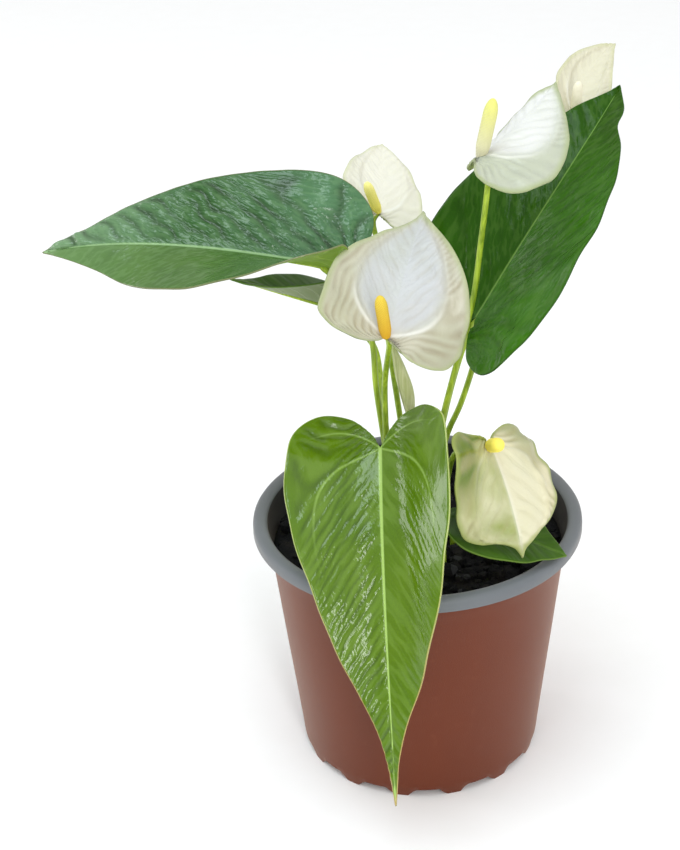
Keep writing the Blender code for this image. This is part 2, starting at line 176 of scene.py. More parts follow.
# %% Studio
scene = bpy.context.scene
scene.view_settings.view_transform = "Standard"
world = bpy.data.worlds.new("studio") if scene.world is None else scene.world
scene.world = world
world.use_nodes = True
room = world.node_tree.nodes["Background"]
room.inputs["Color"].default_value = (1.0, 1.0, 1.0, 1.0)


def wall_light(base, overhead, right, behind):
    """Brightness of the room by direction, set on the world's background."""
    place = add(world, "TexCoord").outputs["Generated"]
    x, y, z = add(world, "SeparateXYZ", {0: place}).outputs
    light = base
    for side, amount in ((z, overhead), (x, right), (y, behind)):
        lit = add(world, "Math", {0: side, 1: 0.0}, operation="MAXIMUM").outputs[0]
        light = add(world, "Math", {0: lit, 1: amount, 2: light}, operation="MULTIPLY_ADD").outputs[0]
    world.node_tree.links.new(light, room.inputs["Strength"])


wall_light(0.43, 0.50, 0.34, 0.14)


def soft_box(name, place, target, size, brightness):
    """A rectangular area light that faces the target, in metres; brightness 1 is white."""
    bpy.ops.object.light_add(type="AREA", location=place)
    lamp = bpy.context.object
    lamp.name = name
    lamp.data.shape = "RECTANGLE"
    lamp.data.size, lamp.data.size_y = size
    lamp.data.energy = brightness * math.pi * size[0] * size[1]
    aim = mathutils.Vector(target) - mathutils.Vector(place)
    lamp.rotation_euler = aim.to_track_quat("-Z", "Y").to_euler()
    return lamp


overhead = soft_box("overhead_box", (-0.22, -0.27, 1.22), (-0.05, 0, 0.2), (0.70, 0.46), 4.6)
overhead.data.color = (0.80, 0.93, 1.0)
soft_box("window_light", (0.20, -0.98, 0.58), (-0.012, -0.06, 0.10), (0.17, 0.60), 12.0)
soft_box("rear_left_box", (-0.86, 0.66, 0.62), (0.03, 0.03, 0.2), (0.20, 0.30), 3.0)
soft_box("left_box", (-1.05, 0.10, 0.28), (0, 0, 0.1), (0.30, 0.45), 4.5)
bpy.ops.mesh.primitive_circle_add(vertices=96, radius=6.0, fill_type="NGON", location=(0, 0, 0))
floor = bpy.context.object
floor.name = "floor"
paper, shader = new_material("matt_white_paper", 0.9, specular=0.2)
grain = add(paper, "TexNoise", {"Scale": 900.0, "Detail": 2.0})
tone = mix(paper, grain.outputs["Fac"], hex_colour("#FCFCFB"), hex_colour("#FFFFFF"))
link(paper, tone, shader, "Base Color")
floor.data.materials.append(paper)
print("studio ready")

# %% [markdown]
# Smooth lines through a few points shape everything on this plant: the outline of a
# blade as much as the bend of a stalk. A Catmull-Rom curve passes through its points,
# so a value can be measured on the plant and typed in directly.

# %% Smooth lines
def smooth_line(points, samples):
    """Points spread along a curve through the given points."""
    pts = np.asarray(points, float)
    ends = np.vstack([2 * pts[0] - pts[1], pts, 2 * pts[-1] - pts[-2]])
    s = np.linspace(0, len(pts) - 1, samples)
    i = np.minimum(s.astype(int), len(pts) - 2)
    u = (s - i)[:, None]
    a, b, c, d = ends[i], ends[i + 1], ends[i + 2], ends[i + 3]
    return 0.5 * (2 * b + (c - a) * u + (2 * a - 5 * b + 4 * c - d) * u ** 2
                  + (3 * b - a - 3 * c + d) * u ** 3)


def even_line(points, samples):
    """The same curve with its points at even distances."""
    fine = smooth_line(points, 400)
    run = np.concatenate([[0], np.cumsum(np.linalg.norm(np.diff(fine, axis=0), axis=1))])
    want = np.linspace(0, run[-1], samples)
    return np.stack([np.interp(want, run, fine[:, k]) for k in range(3)], axis=1)


def ease(low, high, value):
    """0 below low, 1 above high and smooth between."""
    f = np.clip((value - low) / (high - low), 0, 1)
    return f * f * (3 - 2 * f)


print("three points give", len(smooth_line([(0, 0, 0), (1, 1, 0), (2, 0, 0)], 9)), "samples")

# %% [markdown]
# A leaf and a spathe are one kind of thing: a heart-shaped blade on the end of a
# stalk. Its midrib bends, its two halves fold up from the midrib and curl, and its
# lobes hang behind the stalk's end. A formula holds all that better than pushing
# points by hand, so the blade starts as a grid and the formula says where each
# point of the grid goes. The values are those of the CAD solids, in mm and degrees.

# %% The blade's formula
LEAF = ((0, 0), (-.09, .10), (-.17, .33), (-.17, .66), (-.05, .92), (.10, 1), (.25, .93),
        (.40, .77), (.55, .57), (.68, .36), (.78, .19), (.88, .08), (1, 0))
SPATHE = ((0, 0), (-.09, .12), (-.18, .40), (-.16, .72), (-.03, .95), (.15, 1), (.35, .94),
          (.55, .77), (.72, .53), (.86, .27), (.95, .09), (1, 0))
HOOD = ((0, 0), (-.09, .14), (-.16, .45), (-.13, .78), (0, .97), (.18, 1), (.38, .98), (.56, .92),
        (.70, .80), (.79, .58), (.84, .32), (.90, .11), (1, 0))


def blade_axes(az, pitch, roll):
    """Directions along, across and out of a blade that points to azimuth az."""
    az, pitch, roll = np.radians(az), np.radians(pitch), np.radians(roll)
    along = np.stack([np.cos(az) * np.cos(pitch), np.sin(az) * np.cos(pitch), np.sin(pitch)], -1)
    flat = np.stack([np.sin(az), -np.cos(az), 0 * az], -1)
    out = np.cross(flat, along)
    c, s = np.cos(roll)[..., None], np.sin(roll)[..., None]
    return along, c * flat + s * out, c * out - s * flat


class Blade:
    """A heart-shaped blade; pairs are its values at the base and at the tip."""

    def __init__(self, outline, at, length, width, az, pitch, roll, fold_left, fold_right,
                 curl=(0, 0), lobe=0, bend=1.0, back=1.0, full=1.0, side=(1, 1), round_off=2.5):
        self.outline, self.at, self.round_off = np.array(outline, float), np.array(at, float), round_off
        self.length, self.half = length, width / 2
        self.fold = np.radians((fold_left, fold_right))
        self.curl = np.radians(curl)
        self.back, self.full, self.side = back, full, side
        s = self.s = np.linspace(-0.35, 1.02, 138)
        ahead = np.clip(s, 0, None)
        slope = pitch[0] + (pitch[1] - pitch[0]) * ahead ** bend - np.where(s < 0, lobe * s / 0.2, 0)
        along, self.across, self.out = blade_axes(az[0] + (az[1] - az[0]) * ahead, slope,
                                                  roll[0] + (roll[1] - roll[0]) * ahead)
        steps = (along[1:] + along[:-1]) / 2 * (s[1] - s[0]) * length
        walk = np.vstack([np.zeros(3), np.cumsum(steps, axis=0)])
        self.midrib = walk - self.pick(walk, 0.0) + self.at

    def pick(self, rows, u):
        return np.stack([np.interp(u, self.s, rows[:, k]) for k in range(3)], axis=-1)

    def lay(self, x, y):
        """Places of points x mm along the midrib and y mm to its right. The fold between
        the halves is rounded over about `round_off` mm on each side of the midrib."""
        x, y = np.asarray(x, float), np.asarray(y, float)
        u = x / self.length
        right = (y > 0).astype(int)
        lift = [f[0] + (f[1] - f[0]) * np.clip(u, 0, 1) for f in self.fold]
        own, both = np.where(right, lift[1], lift[0]), (lift[0] + lift[1]) / 2
        k, a = self.curl[right] / self.half, np.abs(y)
        wide, high, steps = 0.0, 0.0, 28
        for q in (np.arange(steps) + 0.5) / steps:
            s = a * q * q
            angle = own + k * s - both * np.exp(-(s / self.round_off) ** 2)
            wide = wide + np.cos(angle) * a * 2 * q / steps
            high = high + np.sin(angle) * a * 2 * q / steps
        high = high + both * 0.44 * self.round_off
        return self.pick(self.midrib, u) + self.pick(self.across, u) * (np.copysign(1, y) * wide)[..., None] \
            + self.pick(self.out, u) * high[..., None]

    def margin(self, right, t):
        """The outline of one half as x and y in mm, for t from the stalk's end to the tip."""
        pts = self.outline.copy()
        wide, deep = (1, 1) if right else self.side
        pts[:, 0] = np.where(pts[:, 0] < 0, pts[:, 0] * self.back * deep, pts[:, 0])
        pts[:, 1] = np.where(pts[:, 0] > 0.12, pts[:, 1] ** self.full, pts[:, 1])
        fine = smooth_line(pts, 1201)
        at = np.linspace(0, 1, 1201)
        return (np.interp(t, at, fine[:, 0]) * self.length,
                np.maximum(np.interp(t, at, fine[:, 1]), 0) * self.half * wide)


print("a leaf outline has", len(LEAF), "points, a spathe", len(SPATHE))

# %% [markdown]
# The side veins of an anthurium leave the midrib at about 45 degrees, arch forward and
# end in a long vein that runs just inside the margin. Behind the stalk's end they fan
# into the two lobes. The flesh between the veins is pushed up in small pillows. Every
# point of a blade therefore carries its distances to these veins, and both the relief
# of the mesh and the pale lines of the material are drawn from them.

# %% Veins
START = 0.055                    # the outline from here on; nearer the stalk the lobes part


def vein_map(blade, x, y, v, rim_x, rim_y, spathe):
    """Distances in mm: along the row of side veins, to the arching vein, to the lobe vein
    and to the margin, for points x, |y| on one half."""
    lean = 1.25 * y + 0.25 * y * y / blade.half
    angle = np.arctan2(y, x + 1e-6)
    fan = (math.atan2(1, 1.25) - angle) * 0.62 * blade.half
    behind = ease(0.0, 0.35 * blade.length, -(x - lean))
    row = (x - lean) * (1 - behind) + fan * behind
    grown = blade.length * (0.17 if spathe else 0.12)
    share = (0.60 if spathe else 0.76) + (0.18 if spathe else 0.12) * np.clip(x / blade.length, 0, 1)
    wide = np.interp(x, *widest(blade))
    arch_y = wide * share * (1 - np.exp(-np.clip(x, 0, None) / grown * 1.6))
    slope = wide * share * np.exp(-np.clip(x, 0, None) / grown * 1.6) * 1.6 / grown
    arch = (y - arch_y) / np.sqrt(1 + slope ** 2)
    arch = np.where(x < 0, np.hypot(x, y), arch)
    reach = np.hypot(x, y)
    lobe = reach * (angle - math.radians(141) + 0.030 * reach * 36 / blade.half)
    edge = (1 - v) * np.hypot(rim_x, rim_y)
    show_arch = ease(0.38, 0.06, x / blade.length)
    show_lobe = ease(0.85, 0.3, reach / blade.half)
    return row, arch, lobe, edge, show_arch, show_lobe


def rumple(x, y, step, seed):
    """Smooth irregular waves between -1 and 1, about `step` mm from crest to crest."""
    dice = np.random.default_rng(seed)
    total = 0.0
    for _ in range(7):
        turn, size = dice.random() * 2 * math.pi, step * (0.7 + 0.8 * dice.random())
        total = total + np.sin((x * math.cos(turn) + y * math.sin(turn)) * 2 * math.pi / size
                               + dice.random() * 6.3)
    return total / 4


def widest(blade):
    """Half width of the blade at even steps along it, for the part ahead of the stalk."""
    t = np.linspace(0.3, 1, 300)
    x, y = blade.margin(True, t)
    keep = np.maximum.accumulate(x) <= x
    return x[keep], y[keep]


print("side veins and the margin are measured on the flat blade")

# %% [markdown]
# Now the grid becomes a blade. Its rows run from the midrib to the margin like side
# veins, so the edges of the mesh follow the way the real blade grows. The relief lifts
# each point along the blade's own normal: pillows between the side veins, a channel
# along the midrib and a slow wave near the margin. Solidify gives it its thickness,
# with a second material for the underside.

# %% Grid to blade
def relief(blade, x, y, signed, v, row, ring, ringed, arch, look):
    """Height in mm of the surface above the plain blade, and how deep each point lies
    between two swellings, from 0 on top to 1 at the bottom, which the skins paint as shade."""
    loose = row + 0.22 * look["pillow"] * rumple(x, signed, 14, look["seed"])
    pillow = 0.5 - 0.5 * np.cos(2 * math.pi * loose / look["pillow"])
    strength = np.clip(0.75 + 0.5 * rumple(x, signed, 16, look["seed"] + 1), 0.1, 1.3)
    band = ease(0.04, 0.2, v) * (1 - ease(0.86, 1.0, v))
    strength = strength * np.where(signed > 0, look["swell"][1], look["swell"][0])
    high = look["puff"] * pillow * strength * band
    # painted shade: the mask for darkening the colour, deepest in the creases between pillows
    crease_shade_mask = (1 - pillow) ** 3 * strength * band
    if look["ribs"]:
        outer = ease(-1.5, 2.0, arch) * (1 - ease(0.90, 1.0, v))
        loose = row + 0.28 * look["rib_step"] * rumple(x, signed, 11, look["seed"] + 4)
        rib = 0.5 - 0.5 * np.cos(2 * math.pi * loose / look["rib_step"])
        hoop = 0.5 - 0.5 * np.cos(2 * math.pi * (ring + 0.9 * rumple(x, signed, 15, 8)) / look["rib_step"])
        rib = (rib * (1 - ringed) + hoop * ringed) ** 0.8
        strength = np.clip(0.75 + 0.5 * rumple(x, signed, 10, look["seed"] + 5), 0.15, 1.3)
        high = high * (1 - 0.6 * outer) + look["ribs"] * rib * strength * outer
        # between the ribs the painted shade mask follows their troughs
        crease_shade_mask = crease_shade_mask * 0.35 * (1 - outer) + (1 - rib ** 1.6) * strength * outer
        long = ease(0.04, 0.2, x / blade.length) * (1 - ease(0.75, 0.98, x / blade.length))
        high += look["ridge"] * np.exp(-(arch / 1.2) ** 2) * long
    high -= look["channel"] * np.exp(-(y / 0.9) ** 2) * ease(0.0, 6.0, x)
    high += look["rumple"] * rumple(x, signed, look["rumple_step"], look["seed"] + 2) * ease(0.0, 0.3, v)
    wave = rumple(x, signed, look["wave_step"], look["seed"] + 3)
    return high + look["wave"] * wave * v ** 3, np.clip(crease_shade_mask, 0, 1)


def grow_blade(name, blade, rows, cols, thick, look, upper, under):
    """A finished blade: a grid laid on the formula, with relief, veins and thickness."""
    bpy.ops.object.select_all(action="DESELECT")
    bpy.ops.mesh.primitive_grid_add(x_subdivisions=rows, y_subdivisions=cols, size=2, location=(0, 0, 0))
    piece = only(bpy.context.object)
    piece.name = piece.data.name = name
    flat = vertex_places(piece.data)
    t = START + (1 - START) * (flat[:, 0] + 1) / 2
    v = np.abs(flat[:, 1])
    right = flat[:, 1] > 0
    rim_rx, rim_ry = blade.margin(True, t)
    rim_lx, rim_ly = blade.margin(False, t)
    rim_x, rim_y = np.where(right, rim_rx, rim_lx), np.where(right, rim_ry, rim_ly)
    rim_y = rim_y * (1 + look["ragged"] * rumple(rim_x, np.where(right, 30.0, -30.0), 24, look["seed"] + 6))
    spot, reach, depth = look["nick"]
    rim_y = rim_y * (1 - right * depth * np.exp(-((rim_x / blade.length - spot) / reach) ** 2))
    mid = np.clip(rim_rx - 0.42 * rim_ry, 0, blade.length)
    x, y = mid + (rim_x - mid) * v, rim_y * v
    row, arch, lobe, edge, show_arch, show_lobe = vein_map(blade, x, y, v, rim_x - mid, rim_y,
                                                           look["ribs"] > 0)
    signed = np.where(right, y, -y) + np.where(right, 1e-5, -1e-5)
    ringed = np.where(right, look["ringed"][1], look["ringed"][0]) * ease(0.85, 0.45, x / blade.length)
    step = 0.4
    here = blade.lay(x, signed)
    along = blade.lay(x + step, signed) - blade.lay(x - step, signed)
    across = blade.lay(x, signed + np.where(right, step, 0)) - blade.lay(x, signed - np.where(right, 0, step))
    normal = np.cross(across, along)
    normal /= np.maximum(np.linalg.norm(normal, axis=1), 1e-9)[:, None]
    crease = np.abs(flat[:, 1]) < 1e-4
    normal[crease] = blade.pick(blade.out, x[crease] / blade.length)
    high, crease_shade_mask = relief(blade, x, y, signed, v, row, v * blade.half, ringed, arch, look)
    move_vertices(piece.data, (here + normal * high[:, None]) * MM)
    # the third value of show carries the painted shade mask of the creases
    for label, parts in (("veins", (row, arch, lobe)), ("flat", (x, y, edge)),
                         ("half", (np.where(right, 1.0, -1.0) / MM, v / MM, x / blade.length / MM)),
                         ("show", (show_arch / MM, show_lobe / MM, crease_shade_mask / MM))):
        layer = piece.data.attributes.new(label, "FLOAT_VECTOR", "POINT")
        layer.data.foreach_set("vector", (np.stack(parts, axis=1) * MM).astype(np.float32).ravel())
    bpy.ops.object.mode_set(mode="EDIT")
    bpy.ops.mesh.select_all(action="SELECT")
    bpy.ops.mesh.remove_doubles(threshold=0.00004)
    bpy.ops.object.mode_set(mode="OBJECT")
    bpy.ops.object.shade_smooth()
    face_up(piece, blade)
    piece.data.materials.append(upper)
    piece.data.materials.append(under)
    skin = piece.modifiers.new("thickness", "SOLIDIFY")
    skin.thickness = thick * MM
    skin.offset = 0.0
    skin.material_offset = 1
    bpy.ops.object.modifier_apply(modifier=skin.name)
    return piece


def face_up(piece, blade):
    """Turn the sheet's faces to the side of the blade that looks out of its fold."""
    mesh = piece.data
    middle = blade.pick(blade.out, 0.4)
    total = sum(float(np.dot(p.normal, middle)) * p.area for p in mesh.polygons)
    if total < 0:
        bpy.ops.object.mode_set(mode="EDIT")
        bpy.ops.mesh.select_all(action="SELECT")
        bpy.ops.mesh.flip_normals()
        bpy.ops.object.mode_set(mode="OBJECT")


LEAF_LOOK = {"pillow": 7.0, "puff": 0.25, "ribs": 0.0, "rib_step": 4.0, "ridge": 0.0, "channel": 0.3,
             "wave": 0.7, "wave_step": 26.0, "rumple": 0.3, "rumple_step": 17.0, "ringed": (0, 0),
             "ragged": 0.012, "nick": (0.8, 0.05, 0.0), "swell": (1, 1), "seed": 3}
SPATHE_LOOK = {"pillow": 6.0, "puff": 0.25, "ribs": 0.5, "rib_step": 3.6, "ridge": 0.8, "channel": 0.0,
               "wave": 0.9, "wave_step": 13.0, "rumple": 0.4, "rumple_step": 12.0, "ringed": (0, 0),
               "ragged": 0.015, "nick": (0.8, 0.05, 0.0), "swell": (1, 1), "seed": 11}
print("relief is at most", LEAF_LOOK["puff"], "mm on a leaf")

# %% [markdown]
# A living leaf is a thin waxy skin over soft green flesh. Light glances off the wax
# as a whitish sheen and the rest comes back green, so the material is a green base
# under an ordinary glossy coat. The veins are paler than the flesh, the margin is a
# thin yellow-green line, and the pillows between the finest veins are too small for
# the mesh, so they are drawn with bump from the same vein distances.

# %% Leaf skin
def leaf_skin(name, flesh, shade, vein, margin, roughness, gloss=0.4, pillows=0.16, cell=3.0,
              stretch=0.42, crinkled=0.8, streak=0.10, veined=1.0, arched=0.7, rim=0.5,
              spine=1.0, painted_crease_shade=0.35, tip_margin=None, left_flesh=None, painted_tip_sheen=0.0,
              base_flesh=None, tip_flesh=None, calm=1.0):
    """Waxy upper side of a leaf. `cell` is the width in mm of the pillows between the finest
    veins, `veined` how pale the long veins are, `rim` the width in mm of the pale margin and
    `painted_crease_shade` how much painted shade darkens the creases. Towards the tip the margin turns to
    `tip_margin` and the flesh grows paler by `painted_tip_sheen`, a painted sheen. The left half may have
    a green of its own, the right half one at its base and one at its tip, and on some leaves
    these greens hold painted sheen and painted shade. `calm` is how much relief the left half keeps."""
    mat, shader = new_material(name, roughness, ior=1.47, specular=gloss)
    veins = add(mat, "SeparateXYZ", {0: add(mat, "Attribute", attribute_name="veins").outputs["Vector"]})
    show = add(mat, "SeparateXYZ", {0: add(mat, "Attribute", attribute_name="show").outputs["Vector"]})
    flat_at = add(mat, "Attribute", attribute_name="flat").outputs["Vector"]
    flat = add(mat, "SeparateXYZ", {0: flat_at})
    cloud = add(mat, "TexNoise", {"Vector": flat_at, "Scale": 45.0, "Detail": 3.0}).outputs["Fac"]
    wobble = add(mat, "TexNoise", {"Vector": flat_at, "Scale": 140.0, "Detail": 2.0}).outputs["Fac"]
    row = add(mat, "Math", {0: wobble, 1: 0.004, 2: veins.outputs[0]}, operation="MULTIPLY_ADD").outputs[0]
    # cells: longer along the side veins than across them, 1 on top of a pillow and 0 between
    across = add(mat, "Math", {0: flat.outputs[1], 1: stretch}, operation="MULTIPLY").outputs[0]
    place = add(mat, "CombineXYZ", {0: row, 1: across}).outputs[0]
    pillow = add(mat, "TexVoronoi", {"Vector": place, "Scale": 1 / (cell * MM), "Smoothness": 0.55},
                 feature="SMOOTH_F1").outputs["Distance"]
    pillow = add(mat, "MapRange", {"Value": pillow, "From Min": 0.1, "From Max": 0.75, "To Min": 1.0,
                                   "To Max": 0.0}, interpolation_type="SMOOTHSTEP").outputs[0]
    between = add(mat, "MapRange", {"Value": pillow, "From Min": 0.0, "From Max": 0.4, "To Min": streak,
                                    "To Max": 0.0}).outputs[0]
    half = add(mat, "SeparateXYZ", {0: add(mat, "Attribute", attribute_name="half").outputs["Vector"]})
    to_right = add(mat, "MapRange", {"Value": half.outputs[0], "From Min": -0.3, "From Max": 0.3}).outputs[0]
    upwards = add(mat, "MapRange", {"Value": half.outputs[2], "From Min": 0.05, "From Max": 0.4}).outputs[0]
    # the flesh by place; the left leaf's paler base and tip are painted sheen, the dark leaf's darker left half
    # painted shade
    colour = mix(mat, upwards, hex_colour(base_flesh or flesh), hex_colour(flesh))
    onwards = add(mat, "MapRange", {"Value": half.outputs[2], "From Min": 0.5, "From Max": 0.8}).outputs[0]
    colour = mix(mat, onwards, colour, hex_colour(tip_flesh or flesh))
    colour = mix(mat, to_right, hex_colour(left_flesh or flesh), colour)
    soft = add(mat, "MapRange", {"Value": cloud, "From Min": 0.25, "From Max": 0.75}).outputs[0]
    colour = mix(mat, soft, mix(mat, 0.5, hex_colour(shade), colour), colour)
    # painted sheen: the flesh turns paler towards the tip
    paler = add(mat, "MapRange", {"Value": half.outputs[2], "From Min": 0.55, "From Max": 0.95,
                                  "To Min": 0.0, "To Max": painted_tip_sheen}).outputs[0]
    colour = mix(mat, paler, colour, hex_colour(vein))
    colour = mix(mat, between, colour, hex_colour(vein))
    # painted shade: the creases of the relief are darkened towards a deep green
    deep = add(mat, "Math", {0: show.outputs[2], 1: painted_crease_shade}, operation="MULTIPLY").outputs[0]
    colour = mix(mat, deep, colour, mix(mat, 0.75, hex_colour(shade), hex_colour("#0C2008")))
    # long veins: midrib, arching vein and lobe vein
    thin = add(mat, "MapRange", {"Value": flat.outputs[0], "From Min": 0.0, "From Max": 0.11,
                                 "To Min": 1.0, "To Max": 0.4}).outputs[0]
    rib = add(mat, "Math", {0: flat.outputs[1], 1: thin}, operation="DIVIDE").outputs[0]
    rib = line(mat, rib, 0.0004 * spine, 0.0013 * spine)
    pale = rib
    for vein_at, amount, width in ((veins.outputs[1], show.outputs[0], 0.0008),
                                   (veins.outputs[2], show.outputs[1], 0.0007)):
        drawn = add(mat, "Math", {0: line(mat, vein_at, 0.0, width), 1: amount},
                    operation="MULTIPLY").outputs[0]
        drawn = add(mat, "Math", {0: drawn, 1: arched}, operation="MULTIPLY").outputs[0]
        pale = add(mat, "Math", {0: pale, 1: drawn}, operation="MAXIMUM").outputs[0]
    tint = add(mat, "Math", {0: pale, 1: veined}, operation="MULTIPLY").outputs[0]
    colour = mix(mat, tint, colour, hex_colour(vein))
    edge = line(mat, flat.outputs[2], rim * 0.4 * MM, rim * 1.6 * MM)
    far = add(mat, "MapRange", {"Value": half.outputs[2], "From Min": 0.3, "From Max": 0.7}).outputs[0]
    tipped = mix(mat, far, hex_colour(margin), hex_colour(tip_margin or margin))
    colour = mix(mat, edge, colour, tipped)
    link(mat, colour, shader, "Base Color")
    # the bump's height is in mm: pillows, a fine crinkle, and long veins pressed in
    crinkle = add(mat, "TexNoise", {"Vector": flat_at, "Scale": 420.0, "Detail": 2.0}).outputs["Fac"]
    height = add(mat, "Math", {0: crinkle, 1: pillows * crinkled}, operation="MULTIPLY").outputs[0]
    height = add(mat, "Math", {0: pillow, 1: pillows, 2: height}, operation="MULTIPLY_ADD").outputs[0]
    height = add(mat, "Math", {0: pale, 1: -0.12, 2: height}, operation="MULTIPLY_ADD").outputs[0]
    kept = add(mat, "MapRange", {"Value": half.outputs[0], "From Min": -0.3, "From Max": 0.3,
                                 "To Min": calm, "To Max": 1.0}).outputs[0]
    height = add(mat, "Math", {0: height, 1: kept}, operation="MULTIPLY").outputs[0]
    bump = add(mat, "Bump", {"Height": height, "Distance": 0.001, "Strength": 1.0})
    link(mat, bump.outputs["Normal"], shader, "Normal")
    rough = add(mat, "MapRange", {"Value": cloud, "To Min": roughness - 0.05, "To Max": roughness + 0.07})
    link(mat, rough.outputs[0], shader, "Roughness")
    return mat


def leaf_back(name, flesh, shade, vein, roughness=0.5):
    """Duller, paler underside of a leaf, with its veins standing out a little."""
    mat, shader = new_material(name, roughness, ior=1.45, specular=0.4)
    veins = add(mat, "SeparateXYZ", {0: add(mat, "Attribute", attribute_name="veins").outputs["Vector"]})
    flat_at = add(mat, "Attribute", attribute_name="flat")
    cloud = add(mat, "TexNoise", {"Vector": flat_at.outputs["Vector"], "Scale": 60.0, "Detail": 4.0})
    near = add(mat, "Math", {0: veins.outputs[0], 1: 0.00425}, operation="PINGPONG").outputs[0]
    side = line(mat, near, 0.0002, 0.0009)
    colour = mix(mat, cloud.outputs["Fac"], hex_colour(shade), hex_colour(flesh))
    soft = add(mat, "Math", {0: side, 1: 0.5}, operation="MULTIPLY").outputs[0]
    colour = mix(mat, soft, colour, hex_colour(vein))
    link(mat, colour, shader, "Base Color")
    bump = add(mat, "Bump", {"Height": side, "Distance": 0.00025, "Strength": 1.0})
    link(mat, bump.outputs["Normal"], shader, "Normal")
    return mat


# %% [markdown]
# A stalk is a smooth green rod, lengthwise finely ribbed. It is drawn as a curve with
# a round bevel, as a tube is drawn by hand, and then made a mesh. It rises straight
# out of the potting mix and bends towards its blade. A leaf's stalk swells into a
# short joint under the blade and runs on as the midrib on the blade's underside.

# %% Stalks
SOIL_Z = 92.0
STEM_R = 1.15


def stem_points(hole, via, samples):
    """Up out of the potting mix and smoothly through the via points, in mm."""
    x, y = hole
    pts = [(x, y, SOIL_Z - 4), (x, y, SOIL_Z + 3)] + [tuple(v) for v in via]
    return even_line(pts, samples)


def draw_tube(name, points, radii, mat, sides=4):
    """A curve through the points in mm, bevelled to the radii in mm, as a mesh."""
    bpy.ops.object.select_all(action="DESELECT")
    bpy.ops.curve.primitive_nurbs_path_add(location=(0, 0, 0))
    piece = only(bpy.context.object)
    piece.name = name
    curve = piece.data
    curve.splines.clear()
    spline = curve.splines.new("POLY")
    spline.points.add(len(points) - 1)
    for point, place, radius in zip(spline.points, points, radii):
        point.co = (*(np.asarray(place) * MM), 1.0)
        point.radius = radius
    curve.bevel_depth = MM
    curve.bevel_resolution = sides
    curve.use_fill_caps = True
    bpy.ops.object.convert(target="MESH")
    piece = bpy.context.object
    piece.data.materials.clear()
    piece.data.materials.append(mat)
    bpy.ops.object.mode_set(mode="EDIT")
    bpy.ops.mesh.select_all(action="SELECT")
    bpy.ops.mesh.remove_doubles(threshold=0.00001)
    bpy.ops.mesh.normals_make_consistent(inside=False)
    bpy.ops.object.mode_set(mode="OBJECT")
    bpy.ops.object.shade_smooth()
    return piece


def stalk_skin(name, flesh, shade, roughness=0.38):
    """Satin green rod; streaks 0.8 mm wide run along it."""
    mat, shader = new_material(name, roughness, ior=1.45, specular=0.5)
    place = add(mat, "TexCoord").outputs["Object"]
    tall = add(mat, "Mapping", {"Vector": place, "Scale": (1.0, 1.0, 0.08)}).outputs[0]
    streak = add(mat, "TexNoise", {"Vector": tall, "Scale": 1200.0, "Detail": 2.0})
    patch = add(mat, "TexNoise", {"Vector": place, "Scale": 70.0, "Detail": 2.0})
    both = add(mat, "Math", {0: streak.outputs["Fac"], 1: patch.outputs["Fac"]}, operation="MULTIPLY")
    spread = add(mat, "MapRange", {"Value": both.outputs[0], "From Min": 0.15, "From Max": 0.36})
    link(mat, mix(mat, spread.outputs[0], hex_colour(shade), hex_colour(flesh)), shader, "Base Color")
    bump = add(mat, "Bump", {"Height": streak.outputs["Fac"], "Distance": 0.00012, "Strength": 0.6})
    link(mat, bump.outputs["Normal"], shader, "Normal")
    return mat


stalk_green = stalk_skin("satin_green_stalk", "#B2CC3C", "#7E9A22")
print("stalks are", 2 * STEM_R, "mm thick")

# %% [markdown]
# The five leaves, from the photograph: the big blue-green one at the left lies open
# and shows its sheen, the front one hangs over the pot, the dark one stands up at the
# right, and two small ones sit low at the right and behind. Each gets its own greens.

# %% Leaves
def grow_leaf(name, blade, hole, via, upper, under, stem, rows=150, cols=60, look=None, radius=STEM_R):
    """Blade and stalk of one leaf, both standing for its CAD node."""
    piece = grow_blade(name + "_blade", blade, rows, cols, 0.6, dict(LEAF_LOOK, **(look or {})), upper, under)
    settle(piece, [name])
    out = blade.pick(blade.out, 0.0)
    ahead = blade.lay(np.array(0.03 * blade.length), np.array(1e-5))
    below = blade.at - out * 3.5 + (blade.at - ahead) * 0.5
    run = stem_points(hole, list(via) + [below, ahead - out * (0.8 * radius + 0.2)], 60)
    height = np.concatenate([[0], np.cumsum(np.linalg.norm(np.diff(run, axis=0), axis=1))])
    left = height[-1] - height
    radii = radius * (1.12 - 0.12 * ease(0, 20, height)) * (1 + 0.28 * ease(13, 9, left) * ease(0, 3, left))
    along = np.linspace(0.06, 0.9, 24) * blade.length
    thin = np.linspace(radius * 0.8, 0.25, 24)
    rib = blade.lay(along, np.full(24, 1e-5)) - blade.pick(blade.out, along / blade.length) * (thin[:, None] + 0.2)
    run = np.vstack([run, rib])
    radii = np.concatenate([radii, thin])
    petiole = draw_tube(name + "_petiole", run, radii, stem)
    settle(petiole, [name])
    return piece


